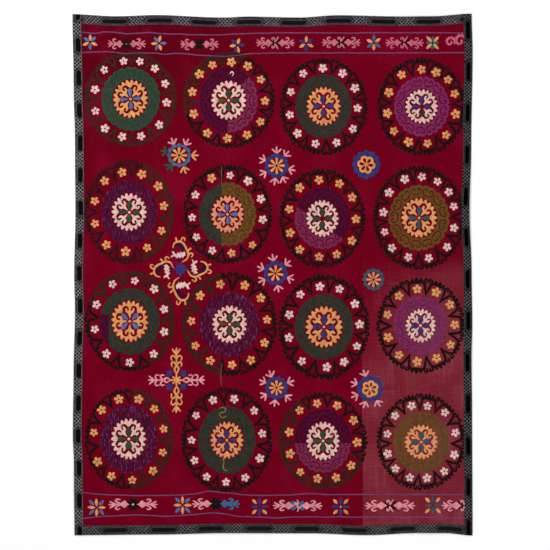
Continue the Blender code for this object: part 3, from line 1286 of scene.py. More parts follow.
@dataclass(frozen=True)
class SprigPlan:
    """A three-pronged sprig: its angle about the rosette and its thread."""

    angle: float
    thread: Thread


def sprigs_at(*angles: float, thread: Thread = Thread.PINK) -> tuple[SprigPlan, ...]:
    """Sprigs of one thread at angles in degrees."""
    return tuple(SprigPlan(angle, thread) for angle in angles)


@dataclass
class SmallRosette(Motif):
    """A small rosette: a toothed blue ring round petals, with sprigs outside it.

    The ring runs from its inner radius to its teeth, from their valleys to their tips.
    """

    inner: float
    valley: float
    outer: float
    teeth: int
    petals: int
    petal_start: float
    petal_reach: float
    kind: PetalKind
    ring_thread: Thread = Thread.NAVY
    petal_thread: Thread = Thread.YELLOW
    sprigs: tuple[SprigPlan, ...] = ()
    sprig_length: float = 29.0
    # The petals' reach that their drops are drawn for
    drop_reach: float = 44.0

    def ring(self) -> Piece:
        """The toothed ring. Returns its piece."""
        deep = self.outer - self.valley
        edge = polar(self.teeth * 8, lambda angle: self.valley + deep * abs(
            math.cos(self.teeth * angle / 2)) ** 0.7)
        work = self.stitching("ring", Dye(self.ring_thread))
        work.fill(self.set_down(edge), self.set_down(disc(self.inner, 32)))
        return work.make()

    def petal_piece(self) -> Piece:
        """The petals. Returns their piece."""
        work = self.stitching("petals", Dye(self.petal_thread))
        reach, count, start = self.petal_reach, self.petals, math.radians(self.petal_start)
        hollows = []
        for i in range(count):
            turn = self.petal_start + 360 * i / count - 90
            if self.kind is PetalKind.CLUB:
                line = vectors((0, 7), (0, reach * 0.6), (0, reach - 6))
                work.fill(self.set_down(stroke(line, (4.0, 9.5, 12.5), 3), turn), rounding=FINE_EDGE)
            else:
                half = vectors((2.2, 9), (5.6, 17), (7.4, 25), (5.6, 31), (0, 34))
                drop = smoothed(symmetric(half), 2)
                hollows.append(self.set_down(drop, turn, reach / self.drop_reach))
        if hollows:
            edge = polar(72, lambda a: reach * (
                0.80 + 0.20 * abs(math.cos(count * (a - start) / 2)) ** 0.7))
            work.fill(self.set_down(edge), *hollows, rounding=FINE_EDGE)
        return work.make()

    def sprig_pieces(self) -> list[Piece]:
        """The sprigs outside the ring. Returns a piece for each of their threads."""
        found = {}
        for sprig in self.sprigs:
            if sprig.thread not in found:
                part = "sprigs_" + sprig.thread.name.lower()
                found[sprig.thread] = self.stitching(part, Dye(sprig.thread))
            angle = math.radians(sprig.angle)
            root = Vector((self.x, self.y)) + Vector((math.cos(angle), math.sin(angle))) * (self.outer + 1)
            for spread, share in ((-46, 0.92), (0, 1.0), (46, 0.92)):
                line = vectors((0, 1), (0, self.sprig_length * share))
                shape = stroke(line, (5.0, 8.6, 7.0), 3)
                found[sprig.thread].fill(carried(shape, root.x, root.y, sprig.angle - 90 + spread))
        return [work.make() for work in found.values()]

    def build(self) -> list[Piece]:
        """Works the whole rosette. Returns its pieces."""
        return [self.ring(), self.petal_piece(), *self.sprig_pieces()]


@dataclass
class WheelCross(Motif):
    """A cross of four curved arms that turn like a wheel about a blue star."""

    arms: tuple[float, ...] = (144, 138, 160, 137)
    arm_length: float = 144.0
    # The jagged leaf in an arm, from its forked tail and along its lower and its upper side
    leaf: tuple[Pair, ...] = (
        (-43, 51), (-35, 57), (-26, 58), (-17, 48), (-12, 56), (-4, 49), (2, 57), (10, 51), (13, 60),
        (20, 61), (21, 72), (16, 81), (8, 73), (1, 80), (-5, 72), (-13, 76), (-18, 67), (-25, 69),
        (-32, 80), (-41, 79), (-37, 70), (-34, 64), (-44, 58),
    )

    def build(self) -> list[Piece]:
        """Works the cross. Returns its pieces."""
        star, yellow, purple, cream = (self.stitching(part, Dye(thread)) for part, thread in (
            ("star", T.NAVY), ("arms", T.YELLOW), ("crescents", T.PURPLE), ("zigzags", T.CREAM)))
        points = polar(64, lambda a: 15 + (18 if round(a / (math.pi / 4)) % 2 == 0 else 10)
                       * abs(math.cos(4 * a)) ** 1.6)
        star.fill(self.set_down(points), self.set_down(disc(4.5, 8)))
        strokes = (
            (yellow, ((7, 34), (27, 46), (34, 68), (27, 88), (16, 111), (0, 124), (-18, 124), (-31, 113),
                      (-35, 97)), (4, 8.5, 9, 9, 8.5, 5)),
            (yellow, ((-18, 126), (-22, 141)), (6, 8)),
            (yellow, ((0, 127), (8, 141), (18, 139), (18, 129)), (6, 7, 5)),
            (yellow, ((32, 82), (45, 93)), (6, 8)),
            (yellow, ((35, 67), (48, 73), (55, 65), (48, 55)), (6, 7, 5)),
            (purple, ((20, 62), (16, 82), (8, 99), (-8, 110), (-24, 106)), (5, 12, 17, 17, 7)),
            (purple, ((-4, 36), (-8, 56)), (5, 14)),
        )
        for arm, reach in enumerate(self.arms):
            share = reach / self.arm_length
            for work, path, widths in strokes:
                line = [Vector((x, y * share)) for x, y in path]
                work.fill(self.set_down(stroke(line, widths), 90 * arm), rounding=FINE_EDGE)
            leaf = [Vector((x, y * share)) for x, y in self.leaf]
            cream.fill(self.set_down(leaf, 90 * arm), lift=0.35, rounding=FINE_EDGE)
        return [work.make() for work in (star, yellow, purple, cream)]


@dataclass
class BranchCross(Motif):
    """A cross of four branching arms about a star, with jagged leaves between them."""

    upright: float = 1.0
    level: float = 0.87

    def arm(self, work: Stitching, turn: float, share: float) -> None:
        """Works one arm.

        Args:
            work: the piece that it belongs to.
            turn: its direction in degrees from the top.
            share: its length as a share of an upright arm.
        """
        loop = vectors((3, 29), (9, 38), (14, 49), (11, 60), (0, 70))
        hollow = vectors((1.5, 38), (4, 44), (5, 50), (3, 56), (0, 58))
        outlines = [smoothed(symmetric(half), 2) for half in (loop, hollow)]
        work.fill(*[self.set_out(shape, turn, share) for shape in outlines], rounding=FINE_EDGE)
        stem = ((0, 66), (0, 92), (0, 122)), (8, 6.5, 8.5)
        tip = ((0, 118), (0, 134), (1, 145)), (7, 10, 6)
        branches = (
            (((1, 68), (9, 79), (17, 82), (23, 75), (21, 62)), (8, 8.5, 8, 7, 5)),
            (((1, 99), (9, 108), (17, 110), (24, 103), (21, 89)), (6, 8, 7.5, 6.5, 4.5)),
            (((2, 118), (9, 129), (17, 140)), (6, 9, 6)),
        )
        both = [([(x * sign, y) for x, y in path], widths) for sign in (1, -1) for path, widths in branches]
        for path, widths in (stem, *both, tip):
            work.fill(self.set_out(stroke(vectors(*path), widths), turn, share), rounding=FINE_EDGE)

    def set_out(self, shape: Outline, turn: float, share: float) -> Outline:
        """A shape of an arm in its place on the cloth."""
        return self.set_down([Vector((p.x, p.y * share)) for p in shape], turn)

    def build(self) -> list[Piece]:
        """Works the cross. Returns its pieces."""
        yellow, pink, blue = (self.stitching(part, Dye(thread)) for part, thread in (
            ("upright", T.YELLOW), ("level", T.PINK), ("leaves", T.NAVY)))
        for turn in range(0, 360, 45):
            reach = 22 if turn % 90 else 26
            petal = stroke(vectors((0, 3), (0, reach * 0.6), (0, reach)), (4, 9, 6), 3)
            yellow.fill(self.set_down(petal, turn))
        for work, turn, share in ((yellow, 0, self.upright), (pink, 90, self.level)):
            self.arm(work, turn, share)
            self.arm(work, turn + 180, share)
        half = vectors((0, 30), (6, 34), (15, 33), (11, 41), (16, 50), (7, 50))
        leaf = [*half, Vector((0, 61)), *mirrored(half[1:])]
        for turn in DIAGONAL_ANGLES:
            blue.fill(self.set_down(leaf, turn), rounding=FINE_EDGE)
        return [work.make() for work in (yellow, pink, blue)]


@dataclass(frozen=True)
class StarPlan:
    """A band's star: its place, and two sets of petals with their thread, angles and reach."""

    x: float
    y: float
    first: Thread
    first_angles: tuple[float, ...]
    second: Thread
    second_angles: tuple[float, ...]
    first_reach: float = 35.0
    second_reach: float = 35.0
    second_start: float = 6.0
    dot: Thread = Thread.BLACK


class Middle(Enum):
    """What stands in the middle of a band's double palmette."""

    LOBES = "a dark figure of eight lobes"
    CURLED_CROSS = "a thin dark cross with curls above and below it"
    PLANT = "a small curled plant between blue fans"


@dataclass(frozen=True)
class PalmettePlan:
    """A band's double palmette: its place, its length as a share of the usual, and its middle.

    Its left half has one thread, and its right half too unless it has its own. Its dot's radius is in
    millimetres, and its halves are the right one, 0, and the left one, 1.
    """

    x: float
    y: float
    share: float
    middle: Middle = Middle.LOBES
    left: Thread = Thread.PINK
    right: Thread | None = None
    halves: tuple[int, ...] = (0, 1)
    dot: float = 0.0


@dataclass
class Band(Motif):
    """The band along one end: two guide lines with stars and palmettes between them.

    Its lobes are the reach across and up of a palmette's dark lobed figure, and each of its scrolls
    has a place and a radius. Its own centre is the hanging's.
    """

    lines: tuple[tuple[Pair, ...], ...]
    stars: tuple[StarPlan, ...]
    palmettes: tuple[PalmettePlan, ...]
    lobes: Pair
    scrolls: tuple[tuple[float, float, float], ...] = ()
    line_width: float = 4.4
    line_end: float = 862.0
    dot_radius: float = 3.6
    works: dict = field(default_factory=dict)

    def work(self, part: str, thread: Thread) -> Stitching:
        """The band's piece for a part and a thread, started when it is first asked for."""
        part = f"{part}_{thread.name.lower()}"
        if part not in self.works:
            self.works[part] = self.stitching(part, Dye(thread))
        return self.works[part]

    def star(self, plan: StarPlan) -> None:
        """Works one star."""
        sets = ((plan.first, plan.first_angles, 6.0, plan.first_reach),
                (plan.second, plan.second_angles, plan.second_start, plan.second_reach))
        for thread, angles, start, reach in sets:
            long = reach - start
            half = vectors((1.4, start), (5.6, start + long * 0.3), (7.0, start + long * 0.5),
                           (4.4, start + long * 0.8), (0, reach))
            shape = smoothed(symmetric(half), 2)
            work = self.work("stars", thread)
            for angle in angles:
                work.fill(carried(shape, plan.x, plan.y, angle - 90), rounding=FINE_EDGE)
        dot = carried(disc(self.dot_radius, 8), plan.x, plan.y)
        self.work("dots", plan.dot).fill(dot, lift=DOT_LIFT, rounding=DOT_EDGE)

    def half_palmette(self, work: Stitching, plan: PalmettePlan, turn: float) -> None:
        """Works one side of a double palmette.

        Args:
            work: the piece that it belongs to.
            plan: the palmette's plan.
            turn: degrees that this side is turned from the right.
        """
        half = vectors((12, 0), (16, 3.5), (22, 8), (28, 15), (33, 16.5), (37, 12.5), (42, 8), (48, 5))
        body = [*half, Vector((50, 0)), *[Vector((p.x, -p.y)) for p in reversed(half[1:])]]
        hook = ((45, 3), (56, 9), (62, 17), (56, 23), (48, 20)), (6, 7, 6.5, 5)
        prong = ((62, 1), (72, 7), (80, 13)), (5, 7.5, 6)
        shapes = [smoothed(body, 2)]
        for sign in (1, -1):
            for path, widths in (hook, prong):
                shapes.append(stroke([Vector((x, y * sign)) for x, y in path], widths))
        shapes.append(stroke(vectors((46, 0), (62, 0), (84, 0)), (6, 6, 7.5, 6)))
        for shape in shapes:
            longer = [Vector((p.x * plan.share, p.y)) for p in shape]
            work.fill(carried(longer, plan.x, plan.y, turn), rounding=FINE_EDGE)

    def lobed_middle(self, plan: PalmettePlan) -> None:
        """Works the dark lobed figure in a palmette's middle, with a dot or an open centre."""
        across, up = self.lobes
        edge = polar(64, lambda a: 0.58 + 0.42 * abs(math.sin(4 * a)) ** 0.7)
        loops = [[Vector((plan.x + p.x * across, plan.y + p.y * up)) for p in edge]]
        if plan.dot:
            self.work("palmettes", plan.left).fill(carried(disc(plan.dot), plan.x, plan.y), lift=0.5)
        else:
            loops.append(carried(disc(4.0, 8), plan.x, plan.y))
        self.work("crosses", Thread.BLACK).fill(*loops, rounding=FINE_EDGE)

    def curled_cross(self, plan: PalmettePlan) -> None:
        """Works a thin dark cross with curls above and below it, or the left half of both."""
        dark, light = self.work("crosses", Thread.BLACK), self.work("palmettes", plan.left)
        sides = (-1,) if plan.halves == (1,) else (-1, 1)
        curls = (((-1, 5), (-2, 13), (-8, 22), (-15, 20), (-14, 13)), ((2, 7), (7, 16), (13, 26)))
        for rise in (1, -1):
            for side in sides:
                arm = vectors((side, rise), (9 * side, 4 * rise), (21 * side, 14 * rise))
                dark.fill(carried(stroke(arm, (5, 6, 10)), plan.x, plan.y), rounding=FINE_EDGE)
            for path in curls[:len(sides)]:
                curl = stroke([Vector((x, y * rise)) for x, y in path], (6, 7, 5))
                light.fill(carried(curl, plan.x, plan.y), lift=0.4, rounding=FINE_EDGE)

    def leafy_scroll(self, x: float, y: float, radius: float) -> None:
        """Works a toothed leaf that curls about an open bay, cut off where the tape begins.

        Args:
            x: its centre.
            y: its centre.
            radius: its reach.
        """
        line = []
        for i, reach in enumerate((0.06, 0.14, 0.36, 0.62, 0.76, 0.80, 0.80, 0.80, 0.80, 0.74)):
            turn = math.radians(20 - 45 * i)
            line.append(Vector((math.cos(turn), math.sin(turn))) * radius * reach)
        shape = stroke(line, tuple(radius * width for width in (0.34, 0.30, 0.36, 0.42, 0.42, 0.36)), 3)
        toothed = []
        for i, point in enumerate(shape):
            tooth = 1.2 if i % 2 == 0 and point.length > radius * 0.72 else 1.0
            toothed.append(Vector((min(x + point.x * tooth, self.line_end), y + point.y * tooth)))
        self.work("palmettes", Thread.ROSE).fill(toothed, rounding=0.6)

    def palmette(self, plan: PalmettePlan) -> None:
        """Works one double palmette."""
        for side in plan.halves:
            thread = plan.left if side else plan.right or plan.left
            self.half_palmette(self.work("palmettes", thread), plan, 180 * side)
        if plan.middle is Middle.LOBES:
            self.lobed_middle(plan)
            return
        if plan.middle is Middle.CURLED_CROSS:
            self.curled_cross(plan)
            return
        for turn in (32, 148, 212, 328):
            fan = stroke(vectors((6, 0), (18, 0), (27, 0)), (6, 15, 13))
            self.work("fans", Thread.STEEL_BLUE).fill(carried(fan, plan.x, plan.y, turn))
        for path, widths in (
            (((-2, -26), (3, -12), (-3, 2), (3, 14), (-2, 24)), (5, 7, 8, 7, 5)),
            (((1, -4), (9, -10), (14, -4)), (5, 6, 5)), (((-1, 8), (-9, 14), (-14, 8)), (5, 6, 5)),
        ):
            stem = stroke(vectors(*path), widths)
            self.work("palmettes", Thread.PINK).fill(carried(stem, plan.x, plan.y), lift=0.4)

    def build(self) -> list[Piece]:
        """Works the whole band. Returns its pieces."""
        for line in self.lines:
            self.work("lines", Thread.GUIDE).fill(stroke(vectors(*line), (self.line_width,) * 2, 8))
        for star in self.stars:
            self.star(star)
        for palmette in self.palmettes:
            self.palmette(palmette)
        for scroll in self.scrolls:
            self.leafy_scroll(*scroll)
        return [work.make() for work in self.works.values()]


def small_rosettes(bench: Bench) -> list[SmallRosette]:
    """The seven small rosettes between the roundels."""
    club, loop, small = PetalKind.CLUB, PetalKind.LOOP, SmallRosette
    upper_left = (*sprigs_at(115, 60), *sprigs_at(0, -70, thread=T.YELLOW),
                  *sprigs_at(165, -130, thread=T.LEAF_GREEN))
    return [
        small(bench, "rosette_upper_left", -420, 536, 39.5, 45, 54, 12, 8, 90, 36, club,
              ring_thread=T.STEEL_BLUE, sprigs=upper_left),
        small(bench, "rosette_upper_middle", 19, 489, 37, 45, 55, 13, 8, 90, 37, club,
              sprigs=sprigs_at(90, 50, -15, -62, -97, 210, 155)),
        small(bench, "rosette_upper_right", 422, 495, 44, 54, 64, 12, 6, -10, 41, loop),
        small(bench, "rosette_centre", 14, 6, 37, 45, 55, 13, 7, 90, 36, club,
              sprigs=sprigs_at(100, 40, -20, -80, 210, 160)),
        small(bench, "rosette_right", 454, -22, 36, 41, 49, 12, 8, 90, 34, club,
              ring_thread=T.TEAL, petal_thread=T.PEACH),
        small(bench, "rosette_lower_middle", 18, -510, 35, 43, 53, 14, 8, 90, 34, club,
              sprigs=sprigs_at(113, 155, 212, 263, -40, 23)),
        small(bench, "rosette_lower_right", 439, -514, 41, 51, 60, 12, 6, 20, 38, loop,
              sprigs=sprigs_at(110, 160, 205, 250, -60)),
    ]


@dataclass
class Repairs(Motif):
    """Odd stitches in other threads, by the left seam and in two of the rings.

    The straight ones, of three points, are thin.
    """

    moss: tuple[tuple[Pair, ...], ...] = (
        ((-236, -600), (-222, -596), (-211, -605), (-217, -618), (-232, -621), (-237, -634), (-222, -643),
         (-209, -636)),
        ((-224, -824), (-218, -842), (-222, -862), (-216, -880), (-204, -882)),
        ((-229, 488), (-231, 440), (-228, 400)), ((-229, -400), (-231, -450), (-229, -500)),
    )
    cream: tuple[tuple[Pair, ...], ...] = (
        ((-192, 904), (-184, 912), (-176, 904), (-181, 894)),
    )
    thin: float = 2.0
    full: float = 6.0

    def build(self) -> list[Piece]:
        """Sews the odd stitches. Returns their pieces."""
        pieces = []
        for thread, paths in ((Thread.MOSS, self.moss), (Thread.CREAM, self.cream)):
            work = self.stitching(thread.name.lower(), Dye(thread))
            for path in paths:
                width = self.thin if len(path) == 3 else self.full
                shape = stroke(vectors(*path), (width * 0.7, width, width * 0.7))
                work.fill(shape, lift=DOT_LIFT, rounding=0.4)
            pieces.append(work.make())
        return pieces


TOP_LINES = (
    ((-857, 1089), (-799, 1084), (-754, 1091), (-686, 1088), (-650, 1084), (-551, 1089), (-502, 1084),
     (-326, 1078), (-236, 1078), (-100, 1085), (150, 1087), (450, 1087), (700, 1088), (862, 1087)),
    ((-857, 998), (-754, 1002), (-650, 995), (-529, 997), (-488, 990), (-425, 996), (-326, 987),
     (-191, 983), (-80, 994), (150, 997), (450, 997), (700, 998), (862, 997)),
)
BOTTOM_LINES = (
    ((-850, -981), (-709, -992), (-506, -994), (-416, -992), (-326, -982), (-272, -976), (-146, -989),
     (-47, -993), (79, -992), (169, -985), (259, -989), (500, -990), (862, -990)),
    ((-850, -1098), (-754, -1087), (-619, -1082), (-461, -1087), (-326, -1076), (-245, -1073),
     (-146, -1087), (-47, -1091), (34, -1096), (124, -1091), (574, -1091), (862, -1093)),
)


def bands(bench: Bench) -> list[Band]:
    """The two bands along the ends."""
    star, palmette = StarPlan, PalmettePlan
    top_stars = (
        star(-820, 1045, T.YELLOW, (90, 205, 335), T.LIGHT_BLUE, (45, 145, 270)),
        star(-512, 1041, T.YELLOW, (75, 183, 290), T.LIGHT_BLUE, (0, 125, 245)),
        star(-158, 1031, T.YELLOW, (75, 188, 285), T.NAVY, (3, 135, 253)),
        star(152, 1039, T.YELLOW, (90, 210, 335), T.NAVY, (37, 155, 270)),
        star(456, 1043, T.YELLOW, (33, 155, 270), T.STEEL_BLUE, (90, 215, 323)),
        star(720, 1043, T.TEAL, CROSS_ANGLES, T.YELLOW, DIAGONAL_ANGLES, 30, 40),
    )
    top_palmettes = (
        palmette(-656, 1038, 1.0, left=T.DUSKY_PINK, dot=3.0),
        palmette(-328, 1035, 1.0, left=T.DUSKY_PINK),
        palmette(12, 1042, 1.0, Middle.CURLED_CROSS, T.DUSKY_PINK),
        palmette(309, 1044, 1.0, Middle.CURLED_CROSS, T.DUSKY_PINK),
        palmette(593, 1042, 1.0, Middle.CURLED_CROSS, T.ROSE),
    )
    bottom_stars = (
        star(-792, -1048, T.YELLOW, CROSS_ANGLES, T.LIGHT_BLUE, DIAGONAL_ANGLES, 41, 47, 16),
        star(-404, -1038, T.YELLOW, CROSS_ANGLES, T.LIGHT_BLUE, DIAGONAL_ANGLES, 41, 47, 16),
        star(-58, -1044, T.NAVY, CROSS_ANGLES, T.YELLOW, DIAGONAL_ANGLES, 42, 48, 20),
        star(307, -1044, T.NAVY, CROSS_ANGLES, T.YELLOW, DIAGONAL_ANGLES, 42, 48, 20, T.CREAM),
        star(721, -1038, T.TEAL, CROSS_ANGLES, T.YELLOW, DIAGONAL_ANGLES, 36, 48, 20),
    )
    bottom_palmettes = (
        palmette(-627, -1034, 1.28, dot=5.5), palmette(-255, -1032, 1.24, right=T.STEEL_BLUE),
        palmette(113, -1040, 1.28, Middle.PLANT), palmette(529, -1040, 1.30, Middle.CURLED_CROSS),
        palmette(862, -1040, 1.15, Middle.CURLED_CROSS, halves=(1,)),
    )
    scrolls = ((803, 1047, 22), (848, 1052, 27))
    return [
        Band(bench, "band_top", 0, 0, TOP_LINES, top_stars, top_palmettes, (26, 23), scrolls),
        Band(bench, "band_bottom", 0, 0, BOTTOM_LINES, bottom_stars, bottom_palmettes, (29, 30)),
    ]


# The cloth

def spaced(low: float, high: float, cell: float) -> list[float]:
    """Stations from low to high, evenly spaced and no further apart than a cell."""
    count = math.ceil((high - low) / cell)
    return [low + (high - low) * i / count for i in range(count + 1)]


def grid_of(columns: list[float], rows: list[float]) -> bmesh.types.BMesh:
    """A grid whose points stand at the given stations of the cutting plan."""
    bm = bmesh.new()
    last_column, last_row = len(columns) - 1, len(rows) - 1
    bmesh.ops.create_grid(bm, x_segments=last_column, y_segments=last_row, size=1.0)
    for vert in bm.verts:
        column = round((vert.co.x + 1) / 2 * last_column)
        row = round((vert.co.y + 1) / 2 * last_row)
        vert.co = (columns[column], rows[row], 0.0)
    return bm


@dataclass
class CottonWidth:
    """One width of cotton, from one edge to the next, with its sewn edges drawn down a little."""

    name: str
    low: float
    high: float
    seams: tuple[float, ...]
    bench: Bench
    slot: str
    faded: bool = False
    seam_reach: float = 0.004
    seam_drop: float = 0.0007
    pucker_reach: float = 0.030
    pucker_height: float = 0.0006
    # The stations beside a seam, in from the width's edge
    seam_stations: tuple[float, ...] = (0.0012, 0.0028, 0.0055)

    def columns(self) -> list[float]:
        """The grid's stations across, closer beside a seam."""
        found = set(spaced(self.low, self.high, COTTON_CELL))
        for seam in self.seams:
            inward = 1 if abs(seam - self.low) < abs(seam - self.high) else -1
            edge = self.low if inward > 0 else self.high
            found.update(edge + inward * station for station in self.seam_stations)
        return sorted(found)

    def rise(self, x: float, y: float, top: float) -> float:
        """How far a face of the cloth is above its underside, beside the seams and away from them.

        Args:
            x: the cutting plan's place across.
            y: the cutting plan's place up.
            top: the plain cloth's thickness there.

        Returns:
            The rise in metres.
        """
        for seam in self.seams:
            off = abs(x - seam)
            if off < self.seam_reach:
                top -= self.seam_drop * (1 - off / self.seam_reach) ** 2
            if off < self.pucker_reach:
                wave = (noise.noise(Vector((x * 12, y * 34, 5.0))) + 1) / 2
                top += self.pucker_height * wave * math.sin(math.pi * off / self.pucker_reach)
        return top

    def build(self) -> Piece:
        """Lays the width. Returns its piece."""
        end = CLOTH_LENGTH / 2 - TURNED_EDGE - GAP
        bm = grid_of(self.columns(), spaced(-end, end, COTTON_CELL))
        under = list(bm.verts)
        raised = bmesh.ops.extrude_face_region(bm, geom=list(bm.faces), use_keep_orig=True)
        for vert in under:
            vert.co = self.bench.lay.place(vert.co.x, vert.co.y, 0.0)
        for item in raised["geom"]:
            if isinstance(item, bmesh.types.BMVert):
                rise = self.rise(item.co.x, item.co.y, COTTON_THICKNESS)
                item.co = self.bench.lay.place(item.co.x, item.co.y, rise)
        piece = finished(self.name + "_cloth", bm, self.bench.looks.cotton(self.faded))
        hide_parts(self.name)
        return piece


@dataclass
class Seam:
    """The sewing between two widths: a line of red thread that closes the gap between their edges."""

    name: str
    x: float
    bench: Bench
    half_width: float = 0.00012
    low: float = 0.0002
    high: float = 0.0007

    def build(self) -> Piece:
        """Sews the seam. Returns its piece."""
        end = CLOTH_LENGTH / 2 - END_TAPE_WIDTH
        corners = ((-1, self.low), (1, self.low), (1, self.high), (-1, self.high))
        bm = bmesh.new()
        rings = []
        for y in spaced(-end, end, COTTON_CELL):
            spots = [(self.x + side * self.half_width, y, rise) for side, rise in corners]
            rings.append([bm.verts.new(self.bench.lay.place(*spot)) for spot in spots])
        for first, second in zip(rings, rings[1:]):
            for i in range(4):
                bm.faces.new((first[i], first[i - 1], second[i - 1], second[i]))
        bm.faces.new(rings[0])
        bm.faces.new(rings[-1])
        piece = finished(self.name, bm, self.bench.looks.cotton(False))
        return piece


@dataclass
class EdgeTape:
    """A length of the edging tape: flat on the cotton, its outer edge turned down round it."""

    name: str
    width: float
    low: float
    high: float
    side: Pair
    lay: Lay
    material: bpy.types.Material
    waviness: float = 0.0004

    def section(self) -> tuple[Pair, ...]:
        """The tape's section as (in from the outer edge, rise), rounded at its edges."""
        under = COTTON_THICKNESS + GAP
        top = under + TAPE_THICKNESS
        width = self.width
        return (
            (0.0, 0.0), (0.0, under), (0.0002, top - 0.0005), (0.0008, top - 0.0001), (0.0030, top),
            (width * 0.2, top), (width * 0.4, top), (width * 0.6, top), (width * 0.8, top),
            (width - 0.0030, top), (width - 0.0010, top - 0.0002), (width - 0.0002, top - 0.0006),
            (width, under), (width / 2, under), (TURNED_EDGE, under), (TURNED_EDGE, 0.0),
        )

    def spot(self, station: float, inward: float) -> Pair:
        """The cutting plan's point at a station along the tape and a distance in from its edge."""
        across, up = self.side
        if across:
            return across * (CLOTH_WIDTH / 2 - inward), station
        return station, up * (CLOTH_LENGTH / 2 - inward)

    def build(self) -> Piece:
        """Lays the tape. Returns its piece."""
        section = self.section()
        stations = spaced(self.low, self.high, TAPE_CELL)
        ring, last = len(section), len(stations) - 1
        bm = bmesh.new()
        bmesh.ops.create_grid(bm, x_segments=ring, y_segments=last, size=1.0)
        along_tape = bm.loops.layers.uv.new("along_tape")
        for face in bm.faces:
            for loop in face.loops:
                inward = section[round((loop.vert.co.x + 1) / 2 * ring) % ring][0]
                station = stations[round((loop.vert.co.y + 1) / 2 * last)]
                loop[along_tape].uv = (station, inward)
        for vert in bm.verts:
            inward, rise = section[round((vert.co.x + 1) / 2 * ring) % ring]
            station = stations[round((vert.co.y + 1) / 2 * last)]
            if rise > COTTON_THICKNESS + 2 * GAP:
                rise += self.waviness * (noise.noise(Vector((station * 30, inward * 40, 2.0))) + 1) / 2
            vert.co = self.lay.place(*self.spot(station, inward), rise)
        bmesh.ops.remove_doubles(bm, verts=bm.verts, dist=GAP / 10)
        bmesh.ops.holes_fill(bm, edges=[edge for edge in bm.edges if edge.is_boundary])
        piece = finished(self.name + "_woven", bm, self.material)
        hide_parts(self.name)
        return piece


def cloth(bench: Bench) -> dict[str, Piece]:
    """Lays the cotton and the tape.

    Args:
        bench: what the pieces are made with.

    Returns:
        The pieces by the node that each stands for.
    """
    half_width, half_length = CLOTH_WIDTH / 2, CLOTH_LENGTH / 2
    raw = TURNED_EDGE + GAP
    widths = (
        CottonWidth("cotton_left", -half_width + raw, LEFT_SEAM_X - GAP / 2, (LEFT_SEAM_X,), bench,
                    "madder_cotton"),
        CottonWidth("cotton_middle", LEFT_SEAM_X + GAP / 2, RIGHT_SEAM_X - GAP / 2,
                    (LEFT_SEAM_X, RIGHT_SEAM_X), bench, "madder_cotton"),
        CottonWidth("cotton_right", RIGHT_SEAM_X + GAP / 2, half_width - raw, (RIGHT_SEAM_X,), bench,
                    "faded_cotton", faded=True),
    )
    tape = bench.looks.tape
    left = tape(LEFT_TAPE_WIDTH, 0.1466, 0.0575, 0.48, 0.60, 0.24, (20, 19, 21), (152, 148, 148))
    right = tape(RIGHT_TAPE_WIDTH, 0.187, 0.106, 0.46, 0.50, 0.22, (10, 10, 12), (112, 109, 112))
    top = tape(END_TAPE_WIDTH, 0.202, 0.196, 0.58, 0.58, 0.19, (32, 29, 33), (134, 129, 132))
    bottom = tape(END_TAPE_WIDTH, 0.216, 0.165, 0.54, 0.50, 0.19, (33, 31, 35), (116, 112, 116))
    low_x, high_x = -half_width + LEFT_TAPE_WIDTH + GAP, half_width - RIGHT_TAPE_WIDTH - GAP
    tapes = (
        EdgeTape("tape_left", LEFT_TAPE_WIDTH, -half_length, half_length, (-1, 0), bench.lay, left),
        EdgeTape("tape_right", RIGHT_TAPE_WIDTH, -half_length, half_length, (1, 0), bench.lay, right),
        EdgeTape("tape_top", END_TAPE_WIDTH, low_x, high_x, (0, 1), bench.lay, top),
        EdgeTape("tape_bottom", END_TAPE_WIDTH, low_x, high_x, (0, -1), bench.lay, bottom),
    )
    return {part.name: part.build() for part in (*widths, *tapes)}


def declare(pieces: dict[str, Piece]) -> None:
    """Lists each cotton width's bounds and each tape's size and the widths under it, and looks those widths
    up among the pieces, but records nothing.

    Args:
        pieces: the cotton and the tape by node.
    """
    cotton = (
        ("cotton_left", -CLOTH_WIDTH / 2, LEFT_SEAM_X),
        ("cotton_middle", LEFT_SEAM_X, RIGHT_SEAM_X),
        ("cotton_right", RIGHT_SEAM_X, CLOTH_WIDTH / 2),
    )
    widths = [name for name, low, high in cotton]
    between = CLOTH_WIDTH - LEFT_TAPE_WIDTH - RIGHT_TAPE_WIDTH - GAP * 2
    tapes = (
        ("tape_left", LEFT_TAPE_WIDTH, CLOTH_LENGTH, widths[:1]),
        ("tape_right", RIGHT_TAPE_WIDTH, CLOTH_LENGTH, widths[2:]),
        ("tape_top", END_TAPE_WIDTH, between, widths), ("tape_bottom", END_TAPE_WIDTH, between, widths),
    )
    for name, width, length, under in tapes:
        [pieces[part] for part in under]


# The stage

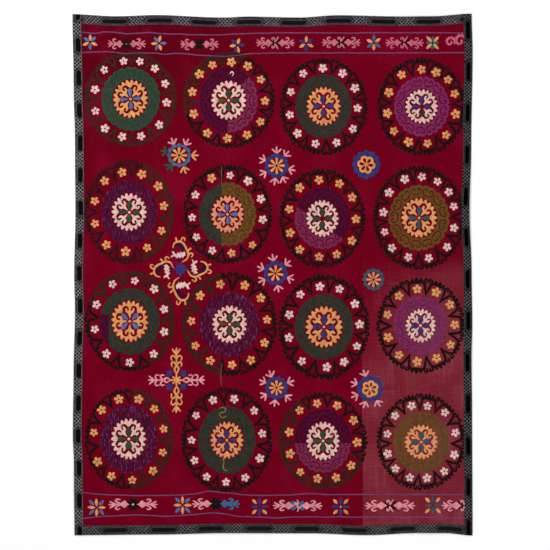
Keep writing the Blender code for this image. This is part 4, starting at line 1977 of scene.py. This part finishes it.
@dataclass
class Studio:
    """A plain pale floor, soft light, and the camera straight above the hanging."""

    image_width: float = 2.475
    lens: float = 85.0
    sensor: float = 36.0
    centre: Pair = (0.01125, -0.002)
    floor_half: float = 5.0

    def floor(self) -> None:
        """Lays the floor just under the hanging."""
        bm = bmesh.new()
        bmesh.ops.create_grid(bm, x_segments=4, y_segments=4, size=self.floor_half)
        material = bpy.data.materials.new("pale_floor")
        material.use_nodes = True
        shader = material.node_tree.nodes["Principled BSDF"]
        shader.inputs["Base Color"].default_value = (0.99, 0.99, 0.99, 1.0)
        shader.inputs["Emission Color"].default_value = (1.0, 1.0, 1.0, 1.0)
        shader.inputs["Emission Strength"].default_value = 0.06
        shader.inputs["Roughness"].default_value = 0.9
        mesh = bpy.data.meshes.new("floor")
        bm.to_mesh(mesh)
        bm.free()
        mesh.materials.append(material)
        floor = bpy.data.objects.new("floor", mesh)
        bpy.context.scene.collection.objects.link(floor)
        floor.location.z = -GAP

    def camera(self) -> None:
        """Hangs the camera straight above, framed as the photo is."""
        data = bpy.data.cameras.new("camera")
        data.lens, data.sensor_width = self.lens, self.sensor
        camera = bpy.data.objects.new("camera", data)
        camera.location = (*self.centre, self.image_width * self.lens / self.sensor)
        bpy.context.scene.collection.objects.link(camera)
        bpy.context.scene.camera = camera

    def lamp(self, name: str, place: tuple[float, float, float], size: float, power: float) -> None:
        """Hangs one large soft lamp that faces the hanging.

        Args:
            name: the lamp's name.
            place: where it hangs.
            size: its side in metres.
            power: its power in watts.
        """
        data = bpy.data.lights.new(name, "AREA")
        data.shape = "SQUARE"
        data.size = size
        data.energy = power
        lamp = bpy.data.objects.new(name, data)
        lamp.location = place
        lamp.rotation_euler = (-Vector(place)).to_track_quat("-Z", "Y").to_euler()
        bpy.context.scene.collection.objects.link(lamp)

    def build(self) -> None:
        """Sets the stage, the lamps and the camera."""
        self.floor()
        self.camera()
        self.lamp("key", (-2.6, 2.6, 3.4), 2.2, 132.0)
        self.lamp("fill", (2.8, -2.4, 3.8), 3.0, 54.0)
        world = bpy.data.worlds.new("studio")
        world.use_nodes = True
        world.node_tree.nodes["Background"].inputs["Color"].default_value = (1.0, 1.0, 1.0, 1.0)
        world.node_tree.nodes["Background"].inputs["Strength"].default_value = 0.56
        scene = bpy.context.scene
        scene.world = world
        scene.view_settings.view_transform = "Standard"


def main() -> None:
    """Builds the hanging, piece by piece, and its stage."""
    noise.seed_set(HAND_SEED)
    logging.basicConfig(level=logging.INFO, format="%(message)s")
    log = logging.getLogger("hanging")
    bench = Bench(Lay(), Looks())
    Studio().build()
    pieces = cloth(bench)
    for name in pieces:
        log.info("cloth %s", name)
    works = [Roundel(bench, "roundel_" + plan.name, plan.x, plan.y, plan, seed)
             for seed, plan in enumerate(ROUNDELS)]
    works += small_rosettes(bench)
    works += [WheelCross(bench, "wheel_cross", -413, 24), BranchCross(bench, "branch_cross", -432, -475)]
    works += [*bands(bench), Repairs(bench, "repair", 0, 0)]
    needlework = [Seam(name, x, bench).build()
                  for name, x in (("seam_left", LEFT_SEAM_X), ("seam_right", RIGHT_SEAM_X))]
    for work in works:
        made = work.build()
        needlework += made
        log.info("needlework %s", ", ".join(piece.name for piece in made))
    declare(pieces)


if __name__ == "__main__":
    main()
